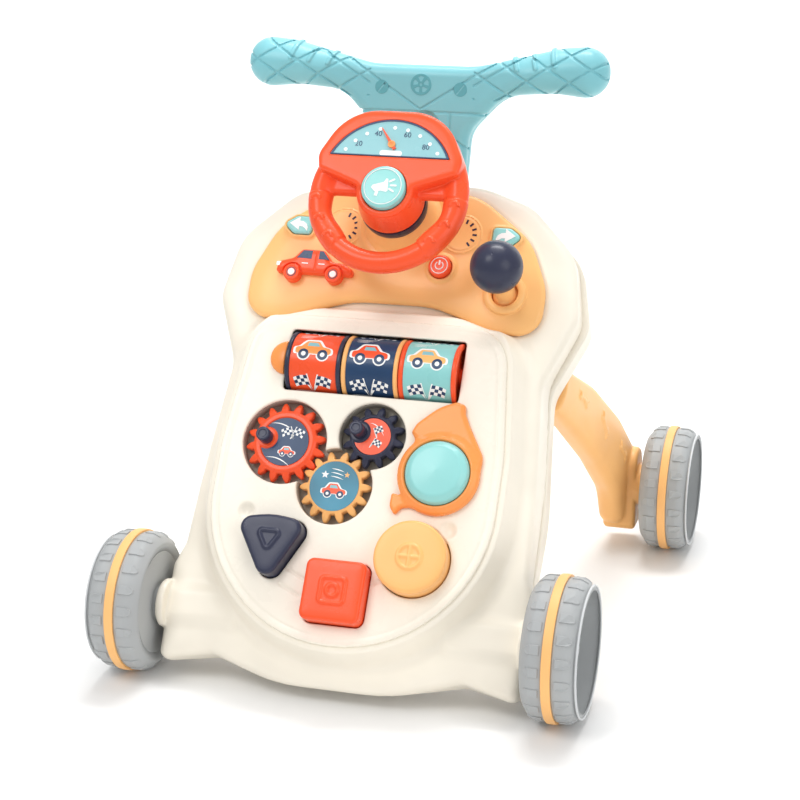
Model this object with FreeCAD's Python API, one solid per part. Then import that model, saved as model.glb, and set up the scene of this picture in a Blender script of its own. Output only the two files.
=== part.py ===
"""Baby push walker with an activity panel, as an assembly of separate pieces.

The row frame has its origin on the floor under the middle of the wheelbase. +X is to the
right of someone facing the activity panel, the panel faces -Y, and +Z is up. Most pieces are
drawn in the panel's own frame: u to the right, v up along the panel and n out of it.
"""
import FreeCAD, Part
import math
import os

App = FreeCAD
Vec = App.Vector

# ---------------------------------------------------------------- overall sizes
WHEELBASE = 359.0
FRONT_TRACK = 339.6
REAR_TRACK = 392.2
PANEL_TILT = 55.0
PANEL_FOOT_AHEAD = 20.0      # the panel's v = 0 line ahead of the front axle
PANEL_FOOT_Z = 27.5
FLOOR_GAP = 12.0             # free height under the body
WALL = 2.5
SEAT_GAP = 0.4               # clearance round a piece that drops into an opening
RUN_GAP = 0.06               # radial clearance of a running fit
PRESS_GAP = 0.02             # radial clearance of a fixed shaft

# ---------------------------------------------------------------- wheels and axles
BAND_R = 56.0
TYRE_R = 54.8
WHEEL_W = 44.0
BAND_W = 7.0
BAND_DEPTH = 2.6
RIM_WALL = 6.0
WEB_AT = 12.0                # web's distance from the wheel's inner face
WEB_T = 4.0
HUB_R = 12.0
HUB_LEN = 28.0
AXLE_R = 4.0
SIDE_PLAY = 0.5
CAP_R = 9.0
CAP_LEN = 7.0
CAP_SKIN = 2.0

# ---------------------------------------------------------------- body shells (panel frame)
FACE_N = 5.0                 # front face of the body
PART_N = -22.0               # parting plane between the two shells
BACK_N = -48.0
EDGE_R = 5.0
PLATEAU_N = 27.0             # raised oval that carries the activity board
PLATEAU_RIM = 4.0            # plateau wider than the board at its top
PLATEAU_SLOPE = 9.0          # and this much wider again at its foot
BODY_HALF = [                # right half outline from the bottom: (u, v, corner radius)
    (38.0, -19.5, 90.0),
    (100.0, 0.0, 6.0),
    (143.0, -10.0, 12.0),
    (145.5, 66.0, 14.0),
    (138.5, 84.0, 20.0),
    (136.0, 135.0, 200.0),
    (127.5, 236.0, 34.0),
    (149.5, 292.0, 30.0),
    (140.0, 345.0, 45.0),
    (100.0, 385.0, 40.0),
    (58.0, 400.0, 60.0),
]
BOSS_R = 15.0                # bearing boss round the front axle
BOSS_FROM = 96.0             # where the boss starts, measured from the middle
COLLAR_R = 19.0
COVER_FLARE = {5: 140.5, 6: 131.5, 7: 155.0, 8: 143.0}   # wider corners of the back cover
ARM_X = 145.0                # outer face of the arm

# ---------------------------------------------------------------- activity board
BOARD_T = 3.0
BOARD_EDGE_R = 1.2
BOARD_R = 113.0              # the board's round lower end
BOARD_MID_V = 124.5
BOARD_TOP_V = 273.0
BOARD_TOP_HALF = 101.0
BOARD_SIDE_V = 166.5         # where the straight sides start to lean in
BOARD_SIDE_R = 120.0
BOARD_SHOULDER_R = 36.0
BOARD_LEDGE = 9.0            # width of the shelf under the board's edge
CUP_WALL = 1.6
WELL_FLOOR_N = 18.0
WELL_FLOOR_T = 2.0

# ---------------------------------------------------------------- drums
DRUM_V = 233.0
DRUM_N = 17.0
DRUM_R = 24.8
DRUM_WALL = 2.0
DRUM_RIM_R = 25.8
DRUM_RIM_T = 3.6
DRUM_PITCH = 46.2
DRUM_GAP = 0.8
DRUM_SHAFT_R = 3.0
DRUM_WINDOW_PLAY = 1.6
BRACKET_T = 3.0
BRACKET_N = 9.0
EAR_R = 13.5
EAR_N0 = 24.0
EAR_N1 = 37.0

# ---------------------------------------------------------------- gears
GEAR_MODULE = 3.7
PRESSURE_ANGLE = 25.0
ADDENDUM = 0.8
DEDENDUM = 1.05
BACKLASH = 0.7
GEARS = {"red": 16, "yellow": 14, "navy": 12}
GEAR_RED_UV = (-61.5, 165.7)
RED_TO_YELLOW_DEG = -34.5    # direction of the yellow gear seen from the red one
YELLOW_TO_NAVY_DEG = 60.5
GEAR_N0 = 20.6
GEAR_N1 = 29.6
POCKET_PLAY = 1.3
POST_R = 4.0
POST_TOP_N = 27.0
CRANK_R = 5.6
CRANK_TOP_N = 41.5
CRANK_AT = {"red": (15.0, 172.0), "navy": (11.0, 165.0)}

# ---------------------------------------------------------------- horn and dome button
DOME_UV = (65.5, 150.0)
DOME_R = 25.0
DOME_TOP_N = 46.0
DOME_SKIRT_N = 39.0
DOME_TRAVEL = 3.0
DOME_SPRING = (12.0, 0.8, 5)  # coil radius, wire radius, turns
HORN_N = 38.0
HORN_RING_R = 32.0
HORN_BELL = [(98.5, 152.0), (97.0, 168.0), (84.0, 190.0), (79.5, 199.0), (78.5, 206.0),
             (71.5, 208.0), (58.0, 202.5), (42.5, 188.0), (39.5, 181.0), (45.0, 174.0),
             (65.0, 152.0)]
HORN_TAIL = [(47.0, 132.0), (39.0, 131.0), (31.5, 132.5), (30.5, 122.0), (36.0, 115.5),
             (40.5, 121.5), (51.0, 124.0)]

# ---------------------------------------------------------------- shape blocks
BLOCK_TOP_N = 45.0
BLOCK_WALL = 2.5
BLOCK_EDGE_R = 2.5
BLOCK_PLAY = 0.7
TRIANGLE_UV = (-56.0, 80.0)
TRIANGLE = [(-29.5, 20.0, 9.0), (0.0, 25.5, 60.0), (29.5, 21.5, 9.0), (2.0, -31.0, 9.0)]
SQUARE_UV = (1.0, 51.4)
SQUARE_SIDE = 47.0
SQUARE_CORNER_R = 6.0
CIRCLE_UV = (55.7, 83.0)
CIRCLE_R = 28.0

# ---------------------------------------------------------------- console
CONSOLE_N = 14.0
CONSOLE_EDGE_R = 3.5
CONSOLE_HALF = [(35.0, 292.0, 70.0), (86.0, 272.5, 30.0), (121.5, 274.0, 20.0),
                (122.5, 312.0, 45.0), (105.0, 352.0, 50.0), (56.0, 389.0, 50.0)]
TURN_UV = (87.0, 351.0)
TURN_SIZE = (24.0, 15.0)
TURN_TOP_N = 19.0
TURN_TRAVEL = 2.0
BEZEL_W = 3.0
BEZEL_H = 2.5
START_UV = (36.5, 322.5)
START_R = 9.0
START_TOP_N = 21.0
START_TRAVEL = 2.0
GAUGE_UV = (49.0, 352.5)
GAUGE_R = 16.5
GAUGE_H = 0.8
CAR_UV = (-66.0, 316.0)
CAR_H = 8.0

# ---------------------------------------------------------------- shift lever
LEVER_UV = (91.5, 304.0)
LEVER_LEAN = 8.5             # stored position, leaning up the panel
LEVER_PIVOT_N = 8.2
LEVER_PIN_R = 2.0
LEVER_PIN_LEN = 26.0
LEVER_FOOT_R = 4.0
LEVER_FOOT_N = FACE_N + 0.8
STEM_LOW_R = 7.5
STEM_TOP_R = 6.0
KNOB_R = 20.5
KNOB_N = 56.0
RING_IN_R = 10.6
RING_OUT_R = 17.0
RING_H = 5.0
LUG_T = 4.0

# ---------------------------------------------------------------- steering
STEER_UV = (0.0, 360.0)
STEER_R = 64.0
RIM_TUBE_R = 8.5
RIM_N = 66.0
HUB_BACK_N = 53.0
STEER_HUB_R = (27.0, 22.5)
HUB_TOP_N = 80.0
HOUSING_N = (60.0, 82.0)
HOUSING_HALF = [(55.0, 13.0, 4.0), (58.0, 27.0, 14.0), (39.0, 66.0, 42.0)]
DIAL_CHORD_V = 26.5          # above the steering axis
DIAL_HALF = 48.0
DIAL_RISE = 31.0
DIAL_T = 1.5
HORN_CAP_R = 17.4
HORN_CAP_N = (76.0, 86.0)
HORN_CAP_TRAVEL = 2.5
HORN_WELL_N = 71.0
HORN_SPRING = (9.0, 0.6, 2)  # coil radius, wire radius, turns
STEER_SHAFT_R = 5.0
STEER_SHAFT_N = 33.0
COLUMN_R = (34.0, 25.0)
COLUMN_TOP_N = 44.0
COLLAR_NAVY_R = 27.0
STEER_PLAY = 0.6
CLIP_R = 9.0
CLIP_T = 3.0

# ---------------------------------------------------------------- handle
HANDLE_TILT = 80.0
HANDLE_BACK = 243.5          # the handle head behind the front axle
HANDLE_Z = 444.0
HANDLE_T = 30.0
HANDLE_EDGE_R = 10.0
GRIP_R = 22.0
GRIP_END_X = 152.0
GRIP_FROM_X = 92.0
HANDLE_HALF = [(36.0, -126.0, 4.0), (40.0, -50.0, 25.0), (70.0, -18.0, 30.0),
               (112.0, -18.0, 60.0), (140.0, -20.0, 14.0), (140.0, 20.0, 14.0),
               (92.0, 20.0, 80.0), (45.0, 4.0, 60.0)]

# ---------------------------------------------------------------- rear legs
LEG_T = 26.0
LEG_SPLAY = 6.7              # the leg's turn outward, in degrees
LEG_ROOT_X = 110.5
LEG_ROOT_Y = -30.0
LEG_EDGE_R = 5.0
LEG = [(-45.0, 240.0, 10.0), (75.0, 180.0, 120.0), (150.0, 130.0, 80.0), (207.0, 80.0, 26.0),
       (199.0, 26.0, 20.0), (168.0, 18.0, 14.0), (148.0, 58.0, 50.0), (90.0, 106.0, 100.0),
       (20.0, 157.0, 100.0), (-45.0, 200.0, 10.0)]
FOOT_T = 30.0
FOOT_LEN = 42.0
FOOT_Z = (15.5, 90.0)        # lowest and highest level of the foot bracket
FOOT_CORNER_R = 9.0
LEG_COLLAR_R = 18.0
LEG_COLLAR_T = 6.0
STUB_INSET = 2.0             # the stub axle's inner end, in from the bracket's inner face

# ---------------------------------------------------------------- inside pieces
SPEAKER_UV = (0.0, 150.0)
SPEAKER_R = 20.0
BATTERY_UV = (0.0, 85.0)
BATTERY_SIZE = (66.0, 52.0, 20.0)
DOOR_T = 2.0
BOARD_PCB = (70.0, 30.0, 1.6)
PCB_UV = (-20.0, 322.0)
PCB_N = -8.0
SCREW_R = 1.5
SCREW_HEAD_R = 3.0
SCREW_LEN = 10.0
SCREWS_UV = [(-118.0, 60.0), (118.0, 60.0), (-112.0, 180.0), (112.0, 180.0),
             (-110.0, 330.0), (110.0, 330.0)]

# ---------------------------------------------------------------- frames worked out from these
AXLE_Z = BAND_R
FRONT_Y = -WHEELBASE / 2
REAR_Y = WHEELBASE / 2
PANEL = App.Placement(Vec(0, FRONT_Y - PANEL_FOOT_AHEAD, PANEL_FOOT_Z),
                      App.Rotation(Vec(1, 0, 0), PANEL_TILT))
HANDLE = App.Placement(Vec(0, FRONT_Y + HANDLE_BACK, HANDLE_Z), App.Rotation(Vec(1, 0, 0), HANDLE_TILT))
BOARD_N = PLATEAU_N + BOARD_T


# ---------------------------------------------------------------- drawing helpers
def rounded(corners, n=0.0):
    """Closed wire through the corners (x, y, radius) with tangent arcs at them."""
    count = len(corners)
    joints = []
    for i in range(count):
        here = Vec(corners[i][0], corners[i][1], n)
        before = Vec(corners[i - 1][0], corners[i - 1][1], n)
        after = Vec(corners[(i + 1) % count][0], corners[(i + 1) % count][1], n)
        back = (before - here).normalize()
        ahead = (after - here).normalize()
        half = back.getAngle(ahead) / 2
        radius = corners[i][2]
        reach = radius / math.tan(half)
        middle = (back + ahead).normalize()
        centre = here + middle * (radius / math.sin(half))
        joints.append((here + back * reach, centre - middle * radius, here + ahead * reach))
    edges = []
    for i in range(count):
        start, mid, end = joints[i]
        following = joints[(i + 1) % count][0]
        edges.append(Part.Arc(start, mid, end).toShape())
        if end.distanceToPoint(following) > 1e-4:
            edges.append(Part.LineSegment(end, following).toShape())
    return Part.Wire(edges)


def polygon(points, n=0.0):
    """Closed wire of straight lines."""
    corners = [Vec(x, y, n) for x, y in points]
    return Part.makePolygon(corners + corners[:1])


def mirrored(half):
    """Full outline, symmetric about x = 0, from its right half."""
    return half + [(-x, y, r) for x, y, r in reversed(half)]


def grown(wire, distance):
    """The wire offset outward by a distance, or inward by a negative one."""
    if distance == 0:
        return wire
    return wire.makeOffset2D(distance)


def prism(wire, n0, n1):
    """Solid between two heights over a closed wire drawn at n = 0."""
    face = Part.Face(wire)
    face.translate(Vec(0, 0, n0))
    return face.extrude(Vec(0, 0, n1 - n0))


def loft(low, n0, high, n1):
    """Ruled solid between two closed wires at two heights."""
    bottom = low.copy()
    bottom.translate(Vec(0, 0, n0))
    top = high.copy()
    top.translate(Vec(0, 0, n1))
    return Part.makeLoft([bottom, top], True, True)


def disc(uv, radius, n0, n1):
    """Cylinder along n."""
    return Part.makeCylinder(radius, n1 - n0, Vec(uv[0], uv[1], n0))


def cone(uv, r0, r1, n0, n1):
    """Cone frustum along n."""
    return Part.makeCone(r0, r1, n1 - n0, Vec(uv[0], uv[1], n0))


def box(uv, size, n0, n1):
    """Box along n, centred on uv."""
    corner = Vec(uv[0] - size[0] / 2, uv[1] - size[1] / 2, n0)
    return Part.makeBox(size[0], size[1], n1 - n0, corner)


def rounded_box(uv, size, radius, n0, n1):
    """Box along n with rounded corners."""
    x, y = size[0] / 2, size[1] / 2
    corners = [(uv[0] + a * x, uv[1] + b * y, radius) for a, b in
               ((-1, -1), (1, -1), (1, 1), (-1, 1))]
    return prism(rounded(corners), n0, n1)


def rod_x(radius, x0, x1, y, z):
    """Cylinder along X in the row frame."""
    return Part.makeCylinder(radius, x1 - x0, Vec(x0, y, z), Vec(1, 0, 0))


def edges_at(shape, n):
    """Edges that lie in the plane at one height."""
    return [e for e in shape.Edges
            if abs(e.BoundBox.ZMin - n) < 1e-3 and abs(e.BoundBox.ZMax - n) < 1e-3]


def soften(shape, radius, n):
    """Round every edge at one height."""
    return shape.makeFillet(radius, edges_at(shape, n))


def fuse(first, *others):
    """Union with the seams between coplanar faces removed."""
    return first.fuse(list(others)).removeSplitter()


def above_floor(height):
    """Everything of the body above a height, as a big box in the panel's frame."""
    keep = Part.makeBox(600, 900, 600, Vec(-300, -450, height))
    keep.Placement = PANEL.inverse().multiply(keep.Placement)
    return keep


def in_panel(shape):
    """A piece drawn in the row frame, brought into the panel's frame."""
    moved = shape.copy()
    moved.Placement = PANEL.inverse().multiply(moved.Placement)
    return moved


def save(name, shape, frame=None):
    """Write one node."""
    out = shape.copy()
    if frame is not None:
        out.Placement = frame.multiply(out.Placement)
    out.exportStep("parts/" + name + ".step")
    print(name, "solids", len(out.Solids), "valid", out.isValid(), "volume", round(out.Volume))


# ---------------------------------------------------------------- outlines
BODY = rounded(mirrored(BODY_HALF))
COVER_HALF = [(COVER_FLARE.get(i, u), v, r) for i, (u, v, r) in enumerate(BODY_HALF)]
COVER = rounded(mirrored(COVER_HALF))
TANGENT = BOARD_R * math.tan(math.radians(22.5))
BOARD_HALF = [
    (TANGENT, BOARD_MID_V - BOARD_R, BOARD_R * 0.995),
    (BOARD_R, BOARD_MID_V - TANGENT, BOARD_R * 0.995),
    (BOARD_R, BOARD_SIDE_V, BOARD_SIDE_R),
    (BOARD_TOP_HALF, BOARD_TOP_V, BOARD_SHOULDER_R),
]
BOARD = rounded(mirrored(BOARD_HALF))
CONSOLE = rounded(mirrored(CONSOLE_HALF))
SQUARE = rounded([(SQUARE_UV[0] + a * SQUARE_SIDE / 2, SQUARE_UV[1] + b * SQUARE_SIDE / 2,
                   SQUARE_CORNER_R) for a, b in ((-1, -1), (1, -1), (1, 1), (-1, 1))])
TRIANGLE_WIRE = rounded([(TRIANGLE_UV[0] + x, TRIANGLE_UV[1] + y, r) for x, y, r in TRIANGLE])
CIRCLE = Part.Wire([Part.Circle(Vec(CIRCLE_UV[0], CIRCLE_UV[1], 0), Vec(0, 0, 1),
                                CIRCLE_R).toShape()])
BLOCKS = {"block_triangle": TRIANGLE_WIRE, "block_square": SQUARE, "block_circle": CIRCLE}


def gear_centres():
    """Centres of the three gears, each a pitch distance from its neighbour."""
    def step(start, teeth, angle):
        distance = GEAR_MODULE * teeth / 2
        turn = math.radians(angle)
        return (start[0] + distance * math.cos(turn), start[1] + distance * math.sin(turn))
    yellow = step(GEAR_RED_UV, GEARS["red"] + GEARS["yellow"], RED_TO_YELLOW_DEG)
    navy = step(yellow, GEARS["yellow"] + GEARS["navy"], YELLOW_TO_NAVY_DEG)
    return {"red": GEAR_RED_UV, "yellow": yellow, "navy": navy}


CENTRES = gear_centres()


def gear_outer(name):
    """Tip radius of a gear."""
    return GEAR_MODULE * (GEARS[name] / 2 + ADDENDUM)


# ---------------------------------------------------------------- shells
def stem_tool(play):
    """The handle's stem with clearance, in the panel's frame."""
    reach = HANDLE_T / 2 + play
    stem = prism(grown(rounded(mirrored(HANDLE_HALF)), play), -reach, reach)
    stem.Placement = HANDLE.multiply(stem.Placement)
    return in_panel(stem)


def front_shell():
    """Front moulding: flat body, raised oval, arms with bearing bosses."""
    outer = soften(prism(BODY, PART_N, FACE_N), EDGE_R, FACE_N)
    foot = grown(BOARD, PLATEAU_RIM + PLATEAU_SLOPE)
    top = grown(BOARD, PLATEAU_RIM)
    console_room = prism(grown(CONSOLE, SEAT_GAP), FACE_N, PLATEAU_N + 1)
    outer = outer.fuse(loft(foot, FACE_N - 0.5, top, PLATEAU_N).cut(console_room))
    outer = outer.common(above_floor(FLOOR_GAP))
    inner = prism(grown(BODY, -WALL), PART_N - 1, FACE_N - WALL)
    inner_foot = grown(BOARD, PLATEAU_RIM + PLATEAU_SLOPE - WALL)
    inner_top = grown(BOARD, PLATEAU_RIM - WALL)
    console_wall = prism(grown(CONSOLE, SEAT_GAP + WALL), FACE_N - WALL, PLATEAU_N + 1)
    hollow = loft(inner_foot, FACE_N - 2 * WALL, inner_top, PLATEAU_N - WALL).cut(console_wall)
    inner = inner.fuse(hollow)
    inner = inner.common(above_floor(FLOOR_GAP + WALL))
    shell = outer.cut(inner)
    shell = shell.cut(prism(grown(BOARD, -BOARD_LEDGE), 0, PLATEAU_N + 1))
    for side in (-1, 1):
        lo, hi = sorted((side * BOSS_FROM, side * ARM_X))
        boss = rod_x(BOSS_R, lo, hi, FRONT_Y, AXLE_Z)
        lo, hi = sorted((side * (ARM_X - 4), side * (FRONT_TRACK - WHEEL_W - 2 * SIDE_PLAY) / 2))
        collar = rod_x(COLLAR_R, lo, hi, FRONT_Y, AXLE_Z)
        boss = in_panel(boss.fuse(collar)).common(
            Part.makeBox(600, 900, 200, Vec(-300, -300, PART_N)))
        shell = shell.fuse(boss)
    bore = in_panel(rod_x(AXLE_R + PRESS_GAP, -ARM_X * 2, ARM_X * 2, FRONT_Y, AXLE_Z))
    shell = shell.cut(bore).cut(stem_tool(SEAT_GAP))
    return shell.removeSplitter()


def rear_cover():
    """Back moulding, with a speaker grille, a battery opening and the stem's slot."""
    outer = soften(prism(COVER, BACK_N, PART_N), EDGE_R, BACK_N).common(above_floor(FLOOR_GAP))
    inner = prism(grown(COVER, -WALL), BACK_N + WALL, PART_N - WALL)
    inner = inner.fuse(prism(grown(BODY, -WALL), BACK_N + WALL, PART_N + 1))
    inner = inner.common(above_floor(FLOOR_GAP + WALL))
    cover = outer.cut(inner)
    for ring in range(1, 4):
        for k in range(6 * ring):
            turn = math.radians(60.0 / ring * k)
            spot = (SPEAKER_UV[0] + 5 * ring * math.cos(turn),
                    SPEAKER_UV[1] + 5 * ring * math.sin(turn))
            cover = cover.cut(disc(spot, 1.2, BACK_N - 1, BACK_N + WALL + 1))
    size = (BATTERY_SIZE[0] - 8, BATTERY_SIZE[1] - 8)
    cover = cover.cut(rounded_box(BATTERY_UV, size, 3.0, BACK_N - 1, BACK_N + WALL + 1))
    for spot in SCREWS_UV:
        post = disc(spot, SCREW_HEAD_R + 1.5, BACK_N + WALL / 2, PART_N)
        cover = cover.fuse(post)
        cover = cover.cut(disc(spot, SCREW_R + 0.05, BACK_N - 1, PART_N + 1))
        cover = cover.cut(disc(spot, SCREW_HEAD_R + 0.4, BACK_N - 1, PART_N - SCREW_LEN))
    cover = cover.cut(stem_tool(SEAT_GAP))
    return cover.removeSplitter()


# ---------------------------------------------------------------- activity board
def gear_pockets(extra, n0, n1):
    """The three overlapping round pockets for the gears."""
    discs = [disc(CENTRES[g], gear_outer(g) + POCKET_PLAY + extra, n0, n1) for g in GEARS]
    return fuse(*discs)


def drum_window():
    """Opening in the board that the drums show through."""
    chord = math.sqrt(DRUM_RIM_R ** 2 - (PLATEAU_N - DRUM_N) ** 2) + DRUM_WINDOW_PLAY
    width = 3 * DRUM_PITCH + 2 * DRUM_WINDOW_PLAY
    return rounded_box((0, DRUM_V), (width, 2 * chord), 2.0, 0, BOARD_N + 1)


def activity_board():
    """Oval board with its wells, pocket openings, drum window and shaft brackets."""
    board = soften(prism(BOARD, PLATEAU_N, BOARD_N), BOARD_EDGE_R, BOARD_N)
    for wire in BLOCKS.values():
        board = board.fuse(prism(grown(wire, BLOCK_PLAY + CUP_WALL), WELL_FLOOR_N, PLATEAU_N))
    board = board.fuse(disc(DOME_UV, DOME_R + SEAT_GAP + CUP_WALL, WELL_FLOOR_N, PLATEAU_N))
    for side in (-1, 1):
        middle = side * (1.5 * DRUM_PITCH + DRUM_WINDOW_PLAY + BRACKET_T / 2)
        size = (BRACKET_T, 16.0)
        board = board.fuse(box((middle, DRUM_V), size, BRACKET_N, PLATEAU_N))
    for wire in BLOCKS.values():
        floor = WELL_FLOOR_N + WELL_FLOOR_T
        board = board.cut(prism(grown(wire, BLOCK_PLAY), floor, BOARD_N + 1))
    board = board.cut(disc(DOME_UV, DOME_R + SEAT_GAP, WELL_FLOOR_N + WELL_FLOOR_T, BOARD_N + 1))
    board = board.cut(gear_pockets(0, 0, BOARD_N + 1)).cut(drum_window())
    reach = 1.5 * DRUM_PITCH + 20
    shaft = Part.makeCylinder(DRUM_SHAFT_R + PRESS_GAP, 2 * reach, Vec(-reach, DRUM_V, DRUM_N),
                              Vec(1, 0, 0))
    return board.cut(shaft).removeSplitter()


def gear_tray():
    """Cup under the pocket openings that holds the gear posts."""
    outer = gear_pockets(CUP_WALL, GEAR_N0 - 4.6, PLATEAU_N)
    return outer.cut(gear_pockets(0, GEAR_N0 - 2.6, PLATEAU_N + 1)).removeSplitter()


def gear_posts():
    """Three fixed posts the gears turn on."""
    return Part.makeCompound([disc(CENTRES[g], POST_R, GEAR_N0 - 2.6, POST_TOP_N) for g in GEARS])


# ---------------------------------------------------------------- gears
def gear_profile(teeth, phase):
    """Closed wire of an involute gear centred on the origin, one tooth's middle at phase."""
    pitch_r = GEAR_MODULE * teeth / 2
    base_r = pitch_r * math.cos(math.radians(PRESSURE_ANGLE))
    tip_r = pitch_r + ADDENDUM * GEAR_MODULE
    root_r = pitch_r - DEDENDUM * GEAR_MODULE
    half_pitch = math.pi / (2 * teeth) - BACKLASH / (2 * pitch_r)
    involute = math.tan(math.radians(PRESSURE_ANGLE)) - math.radians(PRESSURE_ANGLE)

    def half_angle(radius):
        if radius <= base_r:
            return half_pitch + involute
        turn = math.acos(base_r / radius)
        return half_pitch + involute - (math.tan(turn) - turn)

    steps = 4
    flank_from = max(root_r, base_r)
    radii = [flank_from + (tip_r - flank_from) * i / steps for i in range(steps + 1)]
    if root_r < base_r:
        radii = [root_r] + radii
    points = []
    for tooth in range(teeth):
        middle = phase + 2 * math.pi * tooth / teeth
        rising = [(r, middle - half_angle(r)) for r in radii]
        falling = [(r, middle + half_angle(r)) for r in reversed(radii)]
        points += [(r * math.cos(a), r * math.sin(a)) for r, a in rising + falling]
    return polygon(points)


def gear_phases():
    """Turn of each gear that puts its teeth in mesh with its neighbour's gaps."""
    red_yellow = math.radians(RED_TO_YELLOW_DEG)
    yellow_navy = math.radians(YELLOW_TO_NAVY_DEG)
    red = red_yellow
    yellow = red_yellow + math.pi + math.pi / GEARS["yellow"]
    # the navy gear meets the yellow one along the second line of centres
    lead = (yellow_navy - yellow) * GEARS["yellow"]
    navy = yellow_navy + math.pi + (math.pi + lead) / GEARS["navy"]
    return {"red": red, "yellow": yellow, "navy": navy}


def gear(name):
    """One gear with a blind bore from below."""
    blank = prism(gear_profile(GEARS[name], gear_phases()[name]), GEAR_N0, GEAR_N1 - 1.0)
    root = GEAR_MODULE * (GEARS[name] / 2 - DEDENDUM)
    blank = blank.fuse(disc((0, 0), root, GEAR_N0, GEAR_N1))
    blank = blank.cut(disc((0, 0), POST_R + RUN_GAP, GEAR_N0 - 1, POST_TOP_N + 0.5))
    blank.translate(Vec(CENTRES[name][0], CENTRES[name][1], 0))
    return blank


def crank_knob(name):
    """Peg for turning a gear."""
    reach, angle = CRANK_AT[name]
    turn = math.radians(angle)
    spot = (CENTRES[name][0] + reach * math.cos(turn), CENTRES[name][1] + reach * math.sin(turn))
    knob = disc(spot, CRANK_R, GEAR_N1, CRANK_TOP_N)
    return soften(knob, 1.5, CRANK_TOP_N)


# ---------------------------------------------------------------- drums
def drum_x(index):
    """Middle of a drum along the shaft."""
    return (index - 1) * DRUM_PITCH


def drum_half():
    """Half the length of a drum with its rims."""
    return (DRUM_PITCH - DRUM_GAP) / 2


def shaft_u(radius, u0, u1):
    """Cylinder along u on the drum axis."""
    return Part.makeCylinder(radius, u1 - u0, Vec(u0, DRUM_V, DRUM_N), Vec(1, 0, 0))


def drum(index):
    """Picture drum: a tube."""
    half = drum_half() - DRUM_RIM_T
    mid = drum_x(index)
    tube = shaft_u(DRUM_R, mid - half, mid + half)
    return tube.cut(shaft_u(DRUM_R - DRUM_WALL, mid - half - 1, mid + half + 1))


def drum_rims(index):
    """Two end discs of a drum, with lips inside the tube and bores on the shaft."""
    half = drum_half()
    mid = drum_x(index)
    rims = []
    for side in (-1, 1):
        lo, hi = sorted((mid + side * half, mid + side * (half - DRUM_RIM_T)))
        plate = shaft_u(DRUM_RIM_R, lo, hi)
        lo, hi = sorted((mid + side * (half - DRUM_RIM_T), mid + side * (half - DRUM_RIM_T - 4)))
        lip = shaft_u(DRUM_R - DRUM_WALL - 0.05, lo, hi)
        rim = plate.fuse(lip).cut(shaft_u(DRUM_SHAFT_R + RUN_GAP, mid - half - 1, mid + half + 1))
        rims.append(rim.removeSplitter())
    return Part.makeCompound(rims)


def drum_shaft():
    """Fixed shaft through the drums and both brackets."""
    reach = 1.5 * DRUM_PITCH + DRUM_WINDOW_PLAY + BRACKET_T
    return shaft_u(DRUM_SHAFT_R, -reach, reach)


def roller_ear():
    """Half-round cover on the board at the left end of the drums."""
    edge = -1.5 * DRUM_PITCH - DRUM_WINDOW_PLAY
    cover = disc((edge, DRUM_V), EAR_R, BOARD_N, EAR_N1)
    cover = cover.cut(Part.makeBox(60, 60, 60, Vec(edge, DRUM_V - 30, 0)))
    return soften(cover, 2.5, EAR_N1)


# ---------------------------------------------------------------- horn and dome
def horn_trim():
    """Horn-shaped ring round the dome button."""
    ring = disc(DOME_UV, HORN_RING_R, BOARD_N, HORN_N)
    bell = prism(polygon(HORN_BELL), BOARD_N, HORN_N)
    tail = prism(polygon(HORN_TAIL), BOARD_N, HORN_N - 1.5)
    trim = ring.fuse([bell, tail])
    return trim.cut(disc(DOME_UV, DOME_R + SEAT_GAP, 0, HORN_N + 1)).removeSplitter()


def dome_button():
    """Hollow domed push button."""
    base_n = WELL_FLOOR_N + WELL_FLOOR_T + DOME_TRAVEL + 0.4
    rise = DOME_TOP_N - DOME_SKIRT_N

    def dome(radius, top, low):
        ball_r = (radius ** 2 + rise ** 2) / (2 * rise)
        ball = Part.makeSphere(ball_r, Vec(DOME_UV[0], DOME_UV[1], top - ball_r))
        return ball.common(disc(DOME_UV, radius, low, top + 1))

    outer = dome(DOME_R, DOME_TOP_N, base_n)
    inner = dome(DOME_R - WALL, DOME_TOP_N - WALL, base_n - 1)
    return outer.cut(inner)


def coil(uv, radius, wire_r, turns, n0, n1):
    """Compression spring along n."""
    pitch = (n1 - n0 - 2 * wire_r) / turns
    helix = Part.makeHelix(pitch, n1 - n0 - 2 * wire_r, radius)
    section = Part.Wire([Part.Circle(Vec(radius, 0, 0), Vec(0, 1, 0), wire_r).toShape()])
    spring = Part.Wire(helix.Edges).makePipeShell([section], True, True)
    spring.translate(Vec(uv[0], uv[1], n0 + wire_r))
    return spring


# ---------------------------------------------------------------- shape blocks
def block(wire):
    """Hollow shape block open at its foot."""
    foot = WELL_FLOOR_N + WELL_FLOOR_T
    solid = soften(prism(wire, foot, BLOCK_TOP_N), BLOCK_EDGE_R, BLOCK_TOP_N)
    return solid.cut(prism(grown(wire, -BLOCK_WALL), foot - 1, BLOCK_TOP_N - BLOCK_WALL))


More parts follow.
